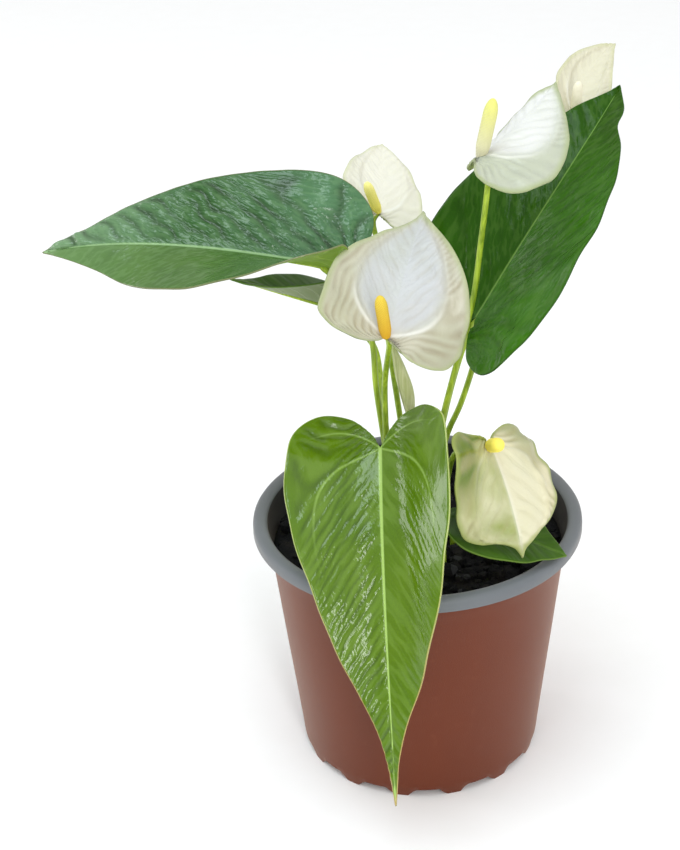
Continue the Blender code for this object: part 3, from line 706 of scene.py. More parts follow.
# The left leaf's far half is painted paler and bluer at its base and tip: a painted sheen, besides the lamps' own
# glints.
left_upper = leaf_skin("waxy_blue_green_leaf", "#32602A", "#26501E", "#93B880", "#70784C", 0.20, gloss=0.52,
                       pillows=0.20, cell=1.9, stretch=1.2, crinkled=1.2, veined=0.8, arched=0.1,
                       rim=0.25, painted_crease_shade=0.75, left_flesh="#466C20", painted_tip_sheen=0.3,
                       base_flesh="#4C7A50", tip_flesh="#5E8460", calm=0.35)
left_under = leaf_back("yellow_green_leaf_back", "#86A82A", "#6C8E1E", "#A9C45A")
grow_leaf("leaf_left",
          Blade(LEAF, (-31.4, 12, 204.8), 114, 74.6, az=(183, 163), pitch=(12.7, -17.7),
                roll=(20.3, 30.5), fold_left=(61, -37.9), fold_right=(27.7, -0.3), lobe=-2.4,
                bend=1.64, back=0.72, full=0.72, side=(0.97, 0.25)),
          (-9.5, 3), [(-10.4, 2.5, 118.3), (-12.9, 2.5, 139.6), (-15, 2.5, 159), (-16, 2.5, 177.6),
                      (-20.5, 4, 189), (-27, 7, 198.5)], left_upper, left_under, stalk_green,
          rows=200, cols=70, look={"pillow": 11.0, "puff": 1.1, "rumple": 0.3, "rumple_step": 14.0,
                                   "swell": (0.15, 1)})

front_upper = leaf_skin("waxy_bright_green_leaf", "#587800", "#426800", "#A3C466", "#A9B868", 0.15, gloss=0.5,
                        pillows=0.18, cell=2.8, crinkled=1.2, arched=0.5, rim=0.25, painted_crease_shade=0.45,
                        spine=0.85, tip_margin="#B09A58", calm=0.4)
front_under = leaf_back("bright_green_leaf_back", "#8FAF3C", "#76982C", "#B9D070")
grow_leaf("leaf_front",
          Blade(LEAF, (-12.8, -24.7, 145.2), 133.8, 73.6, az=(-90.4, -82.7), pitch=(-33.2, -75.5),
                roll=(-14.2, -14.2), fold_left=(40.1, 26.2), fold_right=(29.9, 26.4), lobe=-22.2,
                bend=0.82, back=0.56, full=1.13, round_off=8),
          (-5, -5), [(-6, -6, 112), (-10, -11, 132)], front_upper, front_under, stalk_green,
          rows=240, cols=64, look={"pillow": 5.2, "puff": 0.42, "swell": (0.35, 1.3), "seed": 5})

# The dark leaf's left half is painted a darker green: painted shade on the half that gets less light.
right_upper = leaf_skin("waxy_dark_green_leaf", "#3A7010", "#224C06", "#739A48", "#2E560C", 0.20, gloss=0.14,
                        pillows=0.14, cell=2.2, stretch=0.9, crinkled=1.3, veined=0.7, arched=0.08,
                        rim=0.25, spine=0.6, painted_crease_shade=0.3, left_flesh="#264E02", tip_flesh="#2A4E00",
                        calm=0.6)
right_under = leaf_back("dark_green_leaf_back", "#6F8F3A", "#56762A", "#93AC62")
grow_leaf("leaf_right",
          Blade(LEAF, (24.1, 11, 183.4), 106.9, 84, az=(26.1, 56.7), pitch=(55, 29.3),
                roll=(-5, -4.2), fold_left=(9.6, 16.1), fold_right=(15.3, 17.4), lobe=-9.6,
                bend=1.09, back=0.86, full=0.6),
          (5, 7), [(7, 7.5, 112), (12.2, 9, 133.1), (17.8, 11, 146.2), (22.9, 12.5, 163)],
          right_upper, right_under, stalk_green, rows=180, cols=66,
          look={"pillow": 9.0, "puff": 0.35, "wave": 1.3, "nick": (0.83, 0.055, 0.22), "seed": 9})

small_upper = leaf_skin("satin_small_green_leaf", "#3A5E08", "#2A4806", "#6A8C3A", "#5E7A2C", 0.38, gloss=0.18,
                        pillows=0.1, veined=0.3, arched=0.3, rim=0.25)
grow_leaf("leaf_small",
          Blade(LEAF, (18.6, -30.1, 122.7), 41.9, 44.3, az=(-14.6, -6.1), pitch=(-26.4, -21.7),
                roll=(-8.1, -11.6), fold_left=(17.4, 4.1), fold_right=(6.9, 0.5), back=0.98, full=0.6),
          (14, -8), [(14.5, -10, 103), (16, -19, 115)], small_upper, right_under, stalk_green,
          rows=90, cols=40)

rear_upper = leaf_skin("satin_rear_green_leaf", "#4A6A2C", "#365220", "#7C9458", "#5C7A38", 0.40, gloss=0.25,
                       pillows=0.1, rim=0.3)
rear_under = leaf_back("grey_green_leaf_back", "#8F9C74", "#7C8A64", "#A3AE88")
grow_leaf("leaf_rear",
          Blade(LEAF, (-24, 24, 180), 51, 37.2, az=(192, 195.6), pitch=(21.9, 24.7),
                roll=(-9.8, 0.8), fold_left=(63.2, 22.3), fold_right=(17.5, 34.7), lobe=-10, full=0.82),
          (-5.5, 7.5), [(-10.9, 8, 131.9), (-12.9, 11, 152), (-15.5, 17, 168)],
          rear_upper, rear_under, stalk_green, rows=90, cols=40)

# %% [markdown]
# A spathe is a leaf that has turned white: thicker, waxier and more deeply quilted.
# The vein inside the margin stands up as a ridge, and short ribs run from it to the
# edge; the ridges are lightened and the troughs between ribs darkened in colour as painted
# highlight and painted shade. Young ones are still green at the margin and in the lobes, and
# where a spathe turns away that green is in part painted shade. The flesh lets a little
# light through, which a small subsurface amount gives.

# %% Spathe skin
def spathe_skin(name, centre, outer, painted_crease_shade, margin, green_reach, tint=(0.25, 0.25), lobes=(0.0, 0.0),
                painted_ridge_highlight=0.6, spine=0.0, crinkled=0.12):
    """Waxy spathe: `centre` is the colour between the two ridges, in part a painted highlight,
    `outer` the colour beyond them and `painted_crease_shade` the painted shade between two ribs. The green
    of the margin reaches `green_reach` mm into the blade. tint and lobes are how green the left
    and the right half are, as a whole and in their lobes behind the stalk, in part painted shade
    where a half turns away; ridged and spine how pale the ridges, in part painted highlight, and the midrib."""
    mat, shader = new_material(name, 0.33, ior=1.45, specular=0.4)
    shader.inputs["Subsurface Weight"].default_value = 0.10
    shader.inputs["Subsurface Radius"].default_value = (1.0, 1.0, 0.7)
    shader.inputs["Subsurface Scale"].default_value = 0.001
    veins = add(mat, "SeparateXYZ", {0: add(mat, "Attribute", attribute_name="veins").outputs["Vector"]})
    show = add(mat, "SeparateXYZ", {0: add(mat, "Attribute", attribute_name="show").outputs["Vector"]})
    flat_at = add(mat, "Attribute", attribute_name="flat").outputs["Vector"]
    flat = add(mat, "SeparateXYZ", {0: flat_at})
    half = add(mat, "SeparateXYZ", {0: add(mat, "Attribute", attribute_name="half").outputs["Vector"]})
    cloud = add(mat, "TexNoise", {"Vector": flat_at, "Scale": 60.0, "Detail": 3.0}).outputs["Fac"]
    wobble = add(mat, "TexNoise", {"Vector": flat_at, "Scale": 150.0, "Detail": 2.0}).outputs["Fac"]
    # the colour between the ridges holds in part a painted highlight
    beyond = add(mat, "MapRange", {"Value": veins.outputs[1], "From Min": -0.005, "From Max": 0.003},
                 interpolation_type="SMOOTHSTEP").outputs[0]
    colour = mix(mat, beyond, hex_colour(centre), hex_colour(outer))

    def by_half(left, right):
        return add(mat, "MapRange", {"Value": half.outputs[0], "From Min": -0.2, "From Max": 0.2,
                                     "To Min": left, "To Max": right}).outputs[0]

    # green of each half and of the lobes: the spathe's own green, and on a half turned away in part painted shade
    whole = add(mat, "Math", {0: by_half(*tint), 1: cloud}, operation="MULTIPLY").outputs[0]
    colour = mix(mat, whole, colour, hex_colour(margin))
    behind = add(mat, "MapRange", {"Value": half.outputs[2], "From Min": 0.45, "From Max": -0.08,
                                   "To Min": 0.0, "To Max": 1.0}, interpolation_type="SMOOTHSTEP").outputs[0]
    sideways = add(mat, "MapRange", {"Value": half.outputs[1], "From Min": 0.25, "From Max": 0.8},
                   interpolation_type="SMOOTHSTEP").outputs[0]
    behind = add(mat, "Math", {0: behind, 1: sideways}, operation="MULTIPLY").outputs[0]
    behind = add(mat, "Math", {0: behind, 1: by_half(*lobes)}, operation="MULTIPLY").outputs[0]
    colour = mix(mat, behind, colour, hex_colour("#62761E"))
    # painted shade between the ribs, from the crease mask of the relief
    deep = add(mat, "Math", {0: show.outputs[2], 1: 0.65}, operation="MULTIPLY").outputs[0]
    colour = mix(mat, deep, colour, hex_colour(painted_crease_shade))
    # painted highlight: the ridges are lightened, together with the midrib's own pale line
    pale_midrib_and_ridge_highlight = add(mat, "Math", {0: line(mat, veins.outputs[1], 0.0, 0.0012), 1: show.outputs[0]},
                 operation="MULTIPLY").outputs[0]
    pale_midrib_and_ridge_highlight = add(mat, "Math", {0: pale_midrib_and_ridge_highlight, 1: painted_ridge_highlight}, operation="MULTIPLY").outputs[0]
    midrib = add(mat, "Math", {0: line(mat, flat.outputs[1], 0.0003, 0.0014), 1: spine},
                 operation="MULTIPLY").outputs[0]
    pale_midrib_and_ridge_highlight = add(mat, "Math", {0: pale_midrib_and_ridge_highlight, 1: midrib}, operation="MAXIMUM").outputs[0]
    colour = mix(mat, pale_midrib_and_ridge_highlight, colour, hex_colour("#E9E9E2"))
    rim = add(mat, "MapRange", {"Value": flat.outputs[2], "From Min": 0.0, "From Max": green_reach * MM,
                                "To Min": 0.9, "To Max": 0.0}, interpolation_type="SMOOTHSTEP").outputs[0]
    colour = mix(mat, rim, colour, hex_colour(margin))
    link(mat, colour, shader, "Base Color")
    # bump in mm: side veins 3 mm apart, wandering, and a crinkle of 2 to 3 mm
    row = add(mat, "Math", {0: wobble, 1: 0.006, 2: veins.outputs[0]}, operation="MULTIPLY_ADD").outputs[0]
    near = add(mat, "Math", {0: row, 1: 0.0015}, operation="PINGPONG").outputs[0]
    dome = add(mat, "MapRange", {"Value": near, "From Min": 0.0, "From Max": 0.0015, "To Min": 0.0,
                                 "To Max": crinkled * 0.5}, interpolation_type="SMOOTHSTEP").outputs[0]
    crinkle = add(mat, "TexNoise", {"Vector": flat_at, "Scale": 330.0, "Detail": 2.0}).outputs["Fac"]
    height = add(mat, "Math", {0: crinkle, 1: crinkled * 2.2, 2: dome}, operation="MULTIPLY_ADD").outputs[0]
    bump = add(mat, "Bump", {"Height": height, "Distance": 0.001, "Strength": 1.0})
    link(mat, bump.outputs["Normal"], shader, "Normal")
    return mat


# %% [markdown]
# The spadix is the true flower: a blunt spike set with tiny florets in a slanting net.
# It starts as a grid that is rolled round the spike's axis, and each floret is a small
# rounded diamond in the mesh, about 1 mm wide, as on the real spike.

# %% Spadix
def roll_spike(name, base, top, radius, mat, around=40, rows=96, florets=13):
    """A spike from base to top in mm, its florets in rows that slant round it."""
    base, top = np.asarray(base, float), np.asarray(top, float)
    axis = (top - base) / np.linalg.norm(top - base)
    side = np.cross(axis, (0.3, 1.0, 0.2))
    side /= np.linalg.norm(side)
    other = np.cross(axis, side)
    bpy.ops.object.select_all(action="DESELECT")
    bpy.ops.mesh.primitive_grid_add(x_subdivisions=rows, y_subdivisions=around, size=2, location=(0, 0, 0))
    piece = only(bpy.context.object)
    piece.name = piece.data.name = name
    grid = vertex_places(piece.data)
    f, turn = (grid[:, 0] + 1) / 2, math.pi * (grid[:, 1] + 1)
    f = 1 - (1 - f) ** 1.15
    long = np.linalg.norm(top - base)
    body = np.minimum(1, 0.72 + 1.6 * f) * np.sqrt(np.clip(1 - np.clip((f - 0.72) / 0.28, 0, 1) ** 2, 0, 1))
    steps = long / (2 * math.pi * radius / florets)
    net = np.cos(florets * turn / 2 + f * steps * math.pi) * np.cos(florets * turn / 2 - f * steps * math.pi)
    reach = radius * body * (1 + 0.09 * (np.abs(net) ** 0.6 - 0.6))
    ring = np.cos(turn)[:, None] * side + np.sin(turn)[:, None] * other
    places = base + f[:, None] * (top - base) + ring * reach[:, None]
    move_vertices(piece.data, places * MM)
    layer = piece.data.attributes.new("spike", "FLOAT_VECTOR", "POINT")
    layer.data.foreach_set("vector", np.stack([f, np.abs(net), 0 * f], axis=1).astype(np.float32).ravel())
    bpy.ops.object.mode_set(mode="EDIT")
    bpy.ops.mesh.select_all(action="SELECT")
    bpy.ops.mesh.remove_doubles(threshold=0.00001)
    bpy.ops.mesh.select_all(action="DESELECT")
    bpy.ops.mesh.select_non_manifold(extend=False)
    bpy.ops.mesh.edge_face_add()
    bpy.ops.mesh.select_all(action="SELECT")
    bpy.ops.mesh.normals_make_consistent(inside=False)
    bpy.ops.object.mode_set(mode="OBJECT")
    bpy.ops.object.shade_smooth()
    piece.data.materials.append(mat)
    return piece


def spike_skin(name, low, high, painted_groove_shade):
    """Dry, fine-grained florets; colour runs from low to high along the spike, with painted shade between the
    florets.
    """
    mat, shader = new_material(name, 0.6, specular=0.3)
    spike = add(mat, "SeparateXYZ", {0: add(mat, "Attribute", attribute_name="spike").outputs["Vector"]})
    colour = mix(mat, spike.outputs[0], hex_colour(low), hex_colour(high))
    # painted shade: darker between the florets
    deep = add(mat, "MapRange", {"Value": spike.outputs[1], "From Min": 0.0, "From Max": 0.45,
                                 "To Min": 0.75, "To Max": 0.0}).outputs[0]
    colour = mix(mat, deep, colour, hex_colour(painted_groove_shade))
    link(mat, colour, shader, "Base Color")
    grain = add(mat, "TexNoise", {"Vector": add(mat, "TexCoord").outputs["Object"], "Scale": 1500.0})
    bump = add(mat, "Bump", {"Height": grain.outputs["Fac"], "Distance": 0.0002, "Strength": 0.6})
    link(mat, bump.outputs["Normal"], shader, "Normal")
    return mat


# %% [markdown]
# Five blooms: the open one in front, the topmost one, one behind, one far behind on a
# long stalk, and a low one that leans over the pot's right side. Each is a spathe, a
# spadix and a stalk, and each of the three stands for a CAD node of its own.

# %% Blooms
def grow_bloom(name, blade, hole, via, spike_top, spike_r, skin, spike, look=None, rows=150, cols=80,
               stand=8.0, beside=0.0, radius=STEM_R):
    """Spathe, spadix and stalk of one bloom."""
    spathe = grow_blade("bloom_%s_spathe" % name, blade, rows, cols, 0.7,
                        dict(SPATHE_LOOK, **(look or {})), *skin)
    settle(spathe, ["spathe_" + name])
    out, across = blade.pick(blade.out, 0.0), blade.pick(blade.across, 0.0)
    root = blade.lay(0.0, 1e-5)
    via = list(via) + [blade.at - out * stand + across * beside * 2, root - out * 0.2 + across * beside]
    run = stem_points(hole, via, 70)
    stalk = draw_tube("bloom_%s_stalk" % name, run, np.linspace(radius * 1.1, radius * 0.95, 70), stalk_green)
    settle(stalk, ["stalk_" + name])
    up = np.array(spike_top, float) - root
    up /= np.linalg.norm(up)
    spadix = roll_spike("bloom_%s_spadix" % name, root + up * 0.2, spike_top, spike_r, spike)
    settle(spadix, ["spadix_" + name])


front_skin = (spathe_skin("waxy_white_spathe", "#BFC0C3", "#C0BCAA", "#A0977E", "#A6AE80", 3.0, (0.35, 0.2), (0.1, 0.22)),
              spathe_skin("waxy_white_spathe_back", "#CDD0BC", "#C0C4A2", "#A4A888", "#A8B374", 7.0, (0.5, 0.5)))
top_skin = (spathe_skin("waxy_snow_white_spathe", "#DEDEDC", "#BBBFAD", "#ABAF9E", "#A0AA7C", 3.0, (0.1, 0.2)),
            front_skin[1])
grow_bloom("front",
           Blade(SPATHE, (-10.1, -31.5, 196.4), 53.5, 58.2, az=(67.5, 73.8), pitch=(44.7, 25.4),
                 roll=(-8.2, 0.4), fold_left=(22.9, 1.5), fold_right=(-14.6, 35.3),
                 curl=(32.6, -36.2), lobe=-12.7, back=0.56, full=1.12, round_off=5),
           (-10, -2), [(-11.9, -3, 121.5), (-11.5, -4.5, 143.3), (-11.3, -10.5, 167)],
           (-12, -39, 216), 2.3, front_skin,
           spike_skin("yellow_orange_spadix", "#D8A222", "#E4CC48", "#CFA026"),
           look={"ringed": (1, 0), "rib_step": 3.2})
grow_bloom("top",
           Blade(SPATHE, (25, 2, 252.3), 44, 55, az=(39.3, 49.7), pitch=(20.2, 26.5),
                 roll=(-21.7, -23.8), fold_left=(-75, -45), fold_right=(12.9, -8),
                 curl=(-10, -14.5), lobe=-24.2, back=1.39, full=1.08, side=(0.42, 0.25), round_off=4),
           (1.5, 2), [(9.4, 3, 138.7), (16.2, 5, 167.2), (22.3, 6, 192.7), (24.9, 5, 213.6),
                      (27, 0, 236)],
           (29.4, -2, 275), 2.6, top_skin,
           spike_skin("cream_spadix", "#E0DCC2", "#E4E46A", "#CFCBA0"), beside=2.0)
cream_skin = (spathe_skin("waxy_cream_spathe", "#E2DFD2", "#DDDACB", "#CECBBA", "#CACCAA", 2.0, (0.15, 0.15)),
              spathe_skin("waxy_cream_spathe_back", "#D2D3B8", "#C6C8A2", "#AAB088", "#B2BA80", 6.0, (0.4, 0.4)))
far_skin = (spathe_skin("waxy_ivory_spathe", "#D8D4BE", "#D4CFB8", "#C8C3AA", "#C8C8A2", 2.0, (0.15, 0.15)),
            cream_skin[1])
grow_bloom("back",
           Blade(SPATHE, (-13.5, 47, 211.5), 42.2, 34.6, az=(85.5, 89.6), pitch=(21.7, 14.6),
                 roll=(-20, -18.6), fold_left=(27.3, -1.5), fold_right=(7.8, 4.4), lobe=3.5,
                 back=0.78, full=0.91, round_off=5),
           (-0.5, 11), [(-5, 12, 131.2), (-7, 16, 145.4), (-9.9, 24, 165.8), (-11.6, 34, 180.7),
                        (-13.1, 43, 197)],
           (-17.5, 41, 227), 2.0, cream_skin,
           spike_skin("yellow_spadix", "#FFF06C", "#FFF6A0", "#F0E25A"), rows=110, cols=56, stand=6)
grow_bloom("far",
           Blade(SPATHE, (63.3, 66, 243.6), 41.4, 25, az=(75.7, 45.5), pitch=(35.9, 12.3),
                 roll=(-34.2, -31.3), fold_left=(30, 18), fold_right=(28, 20), back=1.02, round_off=5),
           (4.5, 12.5), [(8, 20, 118), (18, 38, 152), (36, 56, 192), (55, 67, 226)],
           (65, 63, 258), 2.0, far_skin,
           spike_skin("pale_yellow_spadix", "#EDE7CA", "#F0EBD4", "#E4DCBC"), rows=110, cols=56, stand=4)
# The low bloom's strong green on one half and in its lobes is in part painted shade where the spathe turns away.
low_skin = (spathe_skin("waxy_green_cream_spathe", "#DAD5B8", "#D8D0B0", "#A29C6C", "#929C52", 3.0, (0.1, 1.3),
                        lobes=(0.6, 2.0), painted_ridge_highlight=0.15, spine=0.2),
            spathe_skin("waxy_green_cream_spathe_back", "#B8BE88", "#A8B26E", "#8A9450", "#8A9A48", 7.0,
                        (0.6, 0.5)))
grow_bloom("low",
           Blade(HOOD, (27.4, -36.1, 153.3), 44.8, 50.5, az=(-54.1, -35.7), pitch=(-47.8, -81.6),
                 roll=(-9.1, -19.8), fold_left=(-17.3, 12.9), fold_right=(27.7, -42.3),
                 curl=(-31.1, 16), lobe=19.7, bend=0.74, back=0.93, full=1.06, round_off=2),
           (9.8, -21.8), [(10, -16, 105), (11.3, -11, 120), (15, -13, 137)],
           (30, -53, 163), 2.6, low_skin,
           spike_skin("yellow_tipped_spadix", "#FFEA58", "#FFF06A", "#F0D650"), stand=7,
           look={"rumple": 0.7, "rumple_step": 15.0, "pillow": 8.0, "puff": 0.45, "rib_step": 6.0,
                 "ribs": 0.35})

# %% [markdown]
# One bloom is still a bud: a spathe rolled tight round its spadix, pale yellow-green
# and pointed. A grid is rolled into a spindle along a bent line, and its radius grows
# a little with the angle, so that the outer edge of the roll shows as a step.

# %% Bud
def roll_bud(name, points, radii, mat, around=36, rows=60):
    """A furled spathe along the points, in mm."""
    run = even_line(points, rows + 1)
    heading = np.gradient(run, axis=0)
    heading /= np.linalg.norm(heading, axis=1)[:, None]
    side = np.cross(heading, (0.2, 1.0, 0.1))
    side /= np.linalg.norm(side, axis=1)[:, None]
    other = np.cross(heading, side)
    size = np.interp(np.linspace(0, 1, rows + 1), np.linspace(0, 1, len(radii)), radii)
    bpy.ops.object.select_all(action="DESELECT")
    bpy.ops.mesh.primitive_grid_add(x_subdivisions=rows, y_subdivisions=around, size=2, location=(0, 0, 0))
    piece = only(bpy.context.object)
    piece.name = piece.data.name = name
    grid = vertex_places(piece.data)
    i = np.rint((grid[:, 0] + 1) / 2 * rows).astype(int)
    turn = math.pi * (grid[:, 1] + 1)
    spiral = turn + 1.8 * i / rows
    reach = size[i] * (0.93 + 0.14 * (grid[:, 1] + 1) / 2)
    places = run[i] + (np.cos(spiral)[:, None] * side[i] + np.sin(spiral)[:, None] * other[i]) * reach[:, None]
    move_vertices(piece.data, places * MM)
    bpy.ops.object.mode_set(mode="EDIT")
    bpy.ops.mesh.select_all(action="DESELECT")
    bpy.ops.mesh.select_non_manifold(extend=False)
    bpy.ops.mesh.edge_face_add()
    bpy.ops.mesh.select_all(action="SELECT")
    bpy.ops.mesh.normals_make_consistent(inside=False)
    bpy.ops.object.mode_set(mode="OBJECT")
    bpy.ops.object.shade_smooth()
    piece.data.materials.append(mat)
    return piece


bud_skin = stalk_skin("furled_pale_green_spathe", "#D6D9A8", "#B4BC7C", 0.42)
bud = roll_bud("bud_spathe", [(-1.6, -2.5, 145.6), (-2.8, -2.6, 157), (-5.4, -3, 168), (-8.2, -3.4, 179.5)],
               (1.1, 1.5, 1.95, 2.35, 2.6, 2.7, 2.65, 2.5, 2.25, 1.9, 1.5, 1.0, 0.3), bud_skin)
settle(bud, ["bud"])
bud_stalk = draw_tube("bud_stalk", stem_points((-0.5, -3), [(-0.5, -3, 125), (-1.6, -2.5, 146)], 50),
                      np.full(50, STEM_R), stalk_green)
settle(bud_stalk, ["stalk_bud"])

# %% [markdown]
# The pot is moulded polypropylene: thin conical wall, a rolled rim with a short skirt,
# and a foot ring with notches that let water out. It is modelled as on a lathe, by
# extruding a ring upwards and resizing it at every step, over the rim and down the
# inside to the floor. The rim and the inside are slate grey, the outside red-brown; the
# inside wall below the rim is painted near black, as soil stain and painted shade.

# %% Pot shape
POT_STEPS = ((48.2, 3.4), (48.5, 5.5), (48.7, 8), (51.0, 28), (53.4, 48), (55.7, 68), (58.0, 88),
             (59.3, 92.6), (60.4, 97), (60.75, 100), (60.9, 101.8), (61.5, 102.1), (63.3, 102.1),
             (63.8, 101.6), (63.8, 99.0), (64.0, 98.65), (64.4, 98.5), (64.8, 98.65), (65.0, 99.1),
             (65.0, 101.4), (64.85, 102.5), (64.3, 103.3), (63.4, 103.8), (62.0, 104.0), (60.7, 103.8),
             (59.7, 103.1), (59.25, 102.2), (59.2, 97), (57.9, 92.4), (56.8, 88), (52.9, 50),
             (48.0, 9), (47.4, 5.4), (46.4, 4.3), (44.5, 4.0), (30, 4.0), (12, 4.0))
FOOT_RINGS = 84


def ring_up(radius, z, last):
    """Extrude the selected ring to a new radius and height, in mm."""
    bpy.ops.mesh.extrude_region_move(TRANSFORM_OT_translate={"value": (0, 0, (z - last[1]) * MM)})
    bpy.ops.transform.resize(value=(radius / last[0], radius / last[0], 1),
                             center_override=(0, 0, z * MM))
    return radius, z


bpy.ops.object.select_all(action="DESELECT")
bpy.ops.mesh.primitive_circle_add(vertices=FOOT_RINGS * 2, radius=47.4 * MM, location=(0, 0, 0.0))
pot = only(bpy.context.object)
pot.name = pot.data.name = "moulded_pot"
bpy.ops.object.mode_set(mode="EDIT")
bpy.ops.mesh.select_all(action="SELECT")
last = (47.4, 0.0)
for radius, z in POT_STEPS:
    last = ring_up(radius, z, last)
bpy.ops.mesh.merge(type="CENTER")
bpy.ops.mesh.select_all(action="DESELECT")
bpy.ops.mesh.select_non_manifold(extend=False)
last = (47.4, 0.0)
for radius, z in ((45.9, 0.0), (45.8, 3.0), (30.0, 3.0), (8.6, 3.0), (8.0, 2.4), (8.0, 0.4), (7.6, 0.0)):
    last = ring_up(radius, z, last)
bpy.ops.mesh.merge(type="CENTER")
bpy.ops.mesh.select_all(action="SELECT")
bpy.ops.mesh.normals_make_consistent(inside=False)
bpy.ops.object.mode_set(mode="OBJECT")
print("pot", len(pot.data.vertices), "points")

# %% [markdown]
# Fourteen notches are cut out of the foot ring: its lowest points are lifted where a
# notch is, softly at both sides. A narrow bevel would be lost at this size, so the
# corners are rounded by the steps of the lathe instead.

# %% Foot notches and two plastics
places = vertex_places(pot.data)
r = np.hypot(places[:, 0], places[:, 1]) / MM
foot = (r > 45) & (places[:, 2] < 0.5 * MM)
share = (np.degrees(np.arctan2(places[:, 1], places[:, 0])) % 360) / 360 * 14 % 1
lift = ease(0.28, 0.37, share) * (1 - ease(0.86, 0.96, share)) * 2.8
places[:, 2] = np.where(foot, lift * MM, places[:, 2])
move_vertices(pot.data, places)


def moulded_plastic(name, flesh, shade, roughness, speck, bloom=0.1):
    """Matt moulded polypropylene: a fine spark-eroded grain and faint flow bands."""
    mat, shader = new_material(name, roughness, ior=1.49, specular=0.3)
    shader.inputs["Sheen Weight"].default_value = bloom
    shader.inputs["Sheen Roughness"].default_value = 0.45
    shader.inputs["Sheen Tint"].default_value = (1.0, 0.78, 0.62, 1.0)
    place = add(mat, "TexCoord").outputs["Object"]
    tall = add(mat, "Mapping", {"Vector": place, "Scale": (1.0, 1.0, 0.25)}).outputs[0]
    flow = add(mat, "TexNoise", {"Vector": tall, "Scale": 35.0, "Detail": 4.0, "Roughness": 0.6})
    dust = add(mat, "TexNoise", {"Vector": place, "Scale": 260.0, "Detail": 3.0})
    colour = mix(mat, flow.outputs["Fac"], hex_colour(shade), hex_colour(flesh))
    spot = add(mat, "MapRange", {"Value": dust.outputs["Fac"], "From Min": 0.62, "From Max": 0.72,
                                 "To Max": 0.12}).outputs[0]
    link(mat, mix(mat, spot, colour, hex_colour(speck)), shader, "Base Color")
    grain = add(mat, "TexNoise", {"Vector": place, "Scale": 2500.0, "Detail": 2.0})
    bump = add(mat, "Bump", {"Height": grain.outputs["Fac"], "Distance": 0.00012, "Strength": 0.5})
    link(mat, bump.outputs["Normal"], shader, "Normal")
    rough = add(mat, "MapRange", {"Value": flow.outputs["Fac"], "To Min": roughness - 0.06,
                                  "To Max": roughness + 0.08})
    link(mat, rough.outputs[0], shader, "Roughness")
    return mat


pot.data.materials.append(moulded_plastic("red_brown_polypropylene", "#6A2A08", "#5E2406", 0.50, "#7E4228", 0.22))
pot.data.materials.append(moulded_plastic("slate_grey_polypropylene", "#72767A", "#64686C", 0.42, "#7E8286"))
# the inner wall below the rim: dark grey for soil stain and for painted shade
pot.data.materials.append(moulded_plastic("soil_stain_and_shade_polypropylene", "#2E3032", "#1C1D1F", 0.6, "#3A3836"))
for face in pot.data.polygons:
    x, y, z = (c / MM for c in face.center)
    away = math.hypot(x, y)
    outward = face.normal.x * x + face.normal.y * y > 0
    grey = (z > 98.3 and away > 61.2) or z > 101.9 or (z > 4 and not outward and away < 60.5)
    # the inside wall below the rim takes the dark grey, soil stain and painted shade
    inner_stain_and_shade = grey and z < 101.9 and away < 60.5
    face.material_index = 2 if inner_stain_and_shade else 1 if grey else 0
only(pot)
bpy.ops.object.shade_smooth_by_angle(angle=math.radians(35))
settle(pot, ["pot"])

# %% [markdown]
# The potting mix is dark damp peat with bark and root bits. A round grid gives the
# uneven bed, and a few hundred lumps lie on it. Four lumps are modelled from a cube
# that is divided, rounded and pushed about at random, and each is copied many times,
# turned and scaled. The random numbers are seeded, so every run gives the same soil.

# %% Potting mix
SEED = np.random.default_rng(7)


def bed_height(x, y):
    """Height in mm of the uneven bed."""
    return (SOIL_Z + 0.7 * np.sin(0.53 * x + 1.3) * np.cos(0.47 * y - 0.4) + 0.4 * np.sin(0.9 * x - 1.1 * y)
            + 0.5 * np.sin(1.7 * x + 0.8 * y) * np.sin(1.3 * y - 0.5))


bpy.ops.object.select_all(action="DESELECT")
bpy.ops.mesh.primitive_circle_add(vertices=96, radius=57.2 * MM, location=(0, 0, (SOIL_Z - 1.5) * MM))
bed = only(bpy.context.object)
bed.name = bed.data.name = "potting_mix_bed"
bpy.ops.object.mode_set(mode="EDIT")
bpy.ops.mesh.select_all(action="SELECT")
for inner in range(27, 0, -1):
    bpy.ops.mesh.extrude_region_move()
    bpy.ops.transform.resize(value=(inner / (inner + 1),) * 2 + (1,), center_override=(0, 0, 0))
bpy.ops.mesh.merge(type="CENTER")
bpy.ops.mesh.select_all(action="DESELECT")
bpy.ops.mesh.select_non_manifold(extend=False)
bpy.ops.mesh.extrude_region_move(TRANSFORM_OT_translate={"value": (0, 0, -8 * MM)})
bpy.ops.transform.resize(value=(0.975, 0.975, 1), center_override=(0, 0, 0))
bpy.ops.mesh.edge_face_add()
bpy.ops.mesh.select_all(action="SELECT")
bpy.ops.mesh.normals_make_consistent(inside=False)
bpy.ops.object.mode_set(mode="OBJECT")
bpy.ops.object.transform_apply(location=True)
places = vertex_places(bed.data)
x, y = places[:, 0] / MM, places[:, 1] / MM
r = np.hypot(x, y)
top = places[:, 2] > 85 * MM
places[:, 2] = np.where(top & (r < 56), bed_height(x, y) * MM, places[:, 2])
move_vertices(bed.data, places)
bpy.ops.object.shade_smooth()


# %% [markdown]
# Bark and peat are matt and nearly black when damp, with brownish and greyish bits.
# One noise colours the lumps in patches and a finer one gives them their crumb.

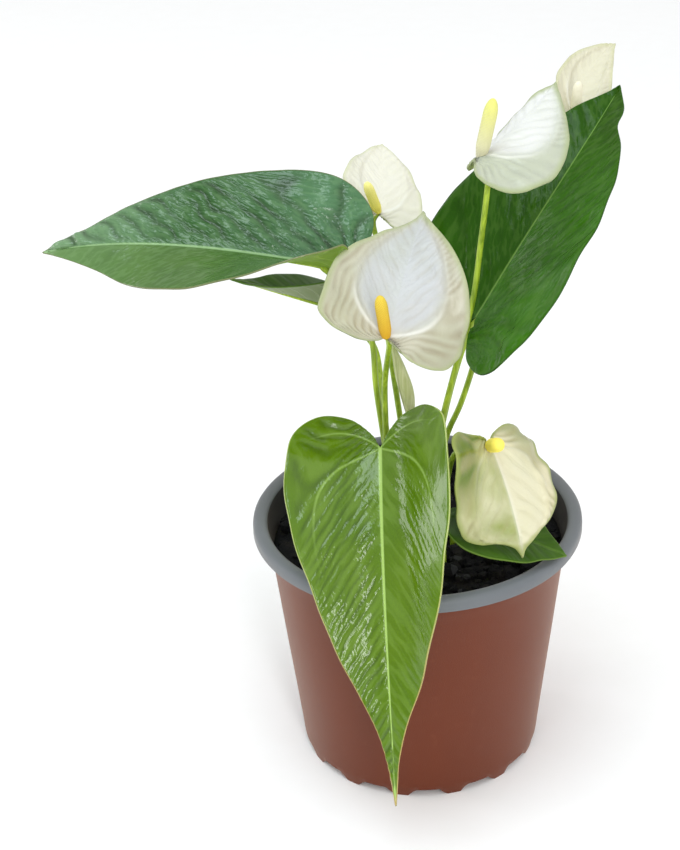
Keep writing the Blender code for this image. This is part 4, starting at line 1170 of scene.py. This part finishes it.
# %% Soil finish and lumps
def damp_bark(name, dark, brown, grey):
    """Damp peat and bark: dull, crumbly, with brown and grey bits."""
    mat, shader = new_material(name, 0.85, specular=0.25)
    place = add(mat, "TexCoord").outputs["Object"]
    patch = add(mat, "TexNoise", {"Vector": place, "Scale": 170.0, "Detail": 2.0})
    bits = add(mat, "TexVoronoi", {"Vector": place, "Scale": 210.0}, feature="F1")
    pick = add(mat, "SeparateXYZ", {0: bits.outputs["Color"]})
    to_brown = add(mat, "MapRange", {"Value": patch.outputs["Fac"], "From Min": 0.5, "From Max": 0.66}).outputs[0]
    colour = mix(mat, to_brown, hex_colour(dark), hex_colour(brown))
    to_grey = add(mat, "MapRange", {"Value": pick.outputs[0], "From Min": 0.82, "From Max": 0.95}).outputs[0]
    colour = mix(mat, to_grey, colour, hex_colour(grey))
    link(mat, colour, shader, "Base Color")
    crumb = add(mat, "TexNoise", {"Vector": place, "Scale": 900.0, "Detail": 5.0, "Roughness": 0.7})
    bump = add(mat, "Bump", {"Height": crumb.outputs["Fac"], "Distance": 0.0012, "Strength": 1.0})
    link(mat, bump.outputs["Normal"], shader, "Normal")
    return mat


bark = damp_bark("damp_peat_and_bark", "#0E0E11", "#201C1A", "#3A3A3C")
bed.data.materials.append(bark)
settle(bed, ["soil"])

lump_forms = []
for kind in range(4):
    bpy.ops.object.select_all(action="DESELECT")
    bpy.ops.mesh.primitive_cube_add(size=1, location=(0, 0, 0))
    form = only(bpy.context.object)
    bpy.ops.object.mode_set(mode="EDIT")
    bpy.ops.mesh.select_all(action="SELECT")
    bpy.ops.mesh.subdivide(number_cuts=1)
    bpy.ops.transform.tosphere(value=0.6)
    bpy.ops.object.mode_set(mode="OBJECT")
    shape = vertex_places(form.data) * (1.0, 0.75, 0.5 + 0.1 * kind)
    shape += SEED.normal(0, 0.07, shape.shape)
    lump_forms.append((shape, [tuple(p.vertices) for p in form.data.polygons]))
    bpy.data.objects.remove(form, do_unlink=True)

lump_points, lump_faces = [], []
for _ in range(520):
    shape, faces = lump_forms[SEED.integers(4)]
    away, angle = 55.0 * math.sqrt(SEED.random()), SEED.random() * 2 * math.pi
    size = 1.8 + 4.6 * SEED.random() ** 2.2
    turn, tilt = SEED.random() * 2 * math.pi, SEED.normal(0, 0.45)
    c, s, ct, st = math.cos(turn), math.sin(turn), math.cos(tilt), math.sin(tilt)
    spin = np.array(((c, -s, 0), (s, c, 0), (0, 0, 1))) @ np.array(((1, 0, 0), (0, ct, -st), (0, st, ct)))
    px, py = away * math.cos(angle), away * math.sin(angle)
    pz = float(bed_height(px, py)) + size * (0.05 + 0.12 * SEED.random())
    start = sum(len(p) for p in lump_points)
    lump_points.append(((shape * size) @ spin.T + (px, py, pz)) * MM)
    lump_faces += [tuple(start + v for v in face) for face in faces]
lump_mesh = bpy.data.meshes.new("potting_lumps")
lump_mesh.from_pydata(np.vstack(lump_points).tolist(), [], lump_faces)
lumps = bpy.data.objects.new("potting_lumps", lump_mesh)
bpy.context.collection.objects.link(lumps)
lump_mesh.materials.append(bark)
only(lumps)
bpy.ops.object.shade_smooth_by_angle(angle=math.radians(40))
settle(lumps, ["soil"])
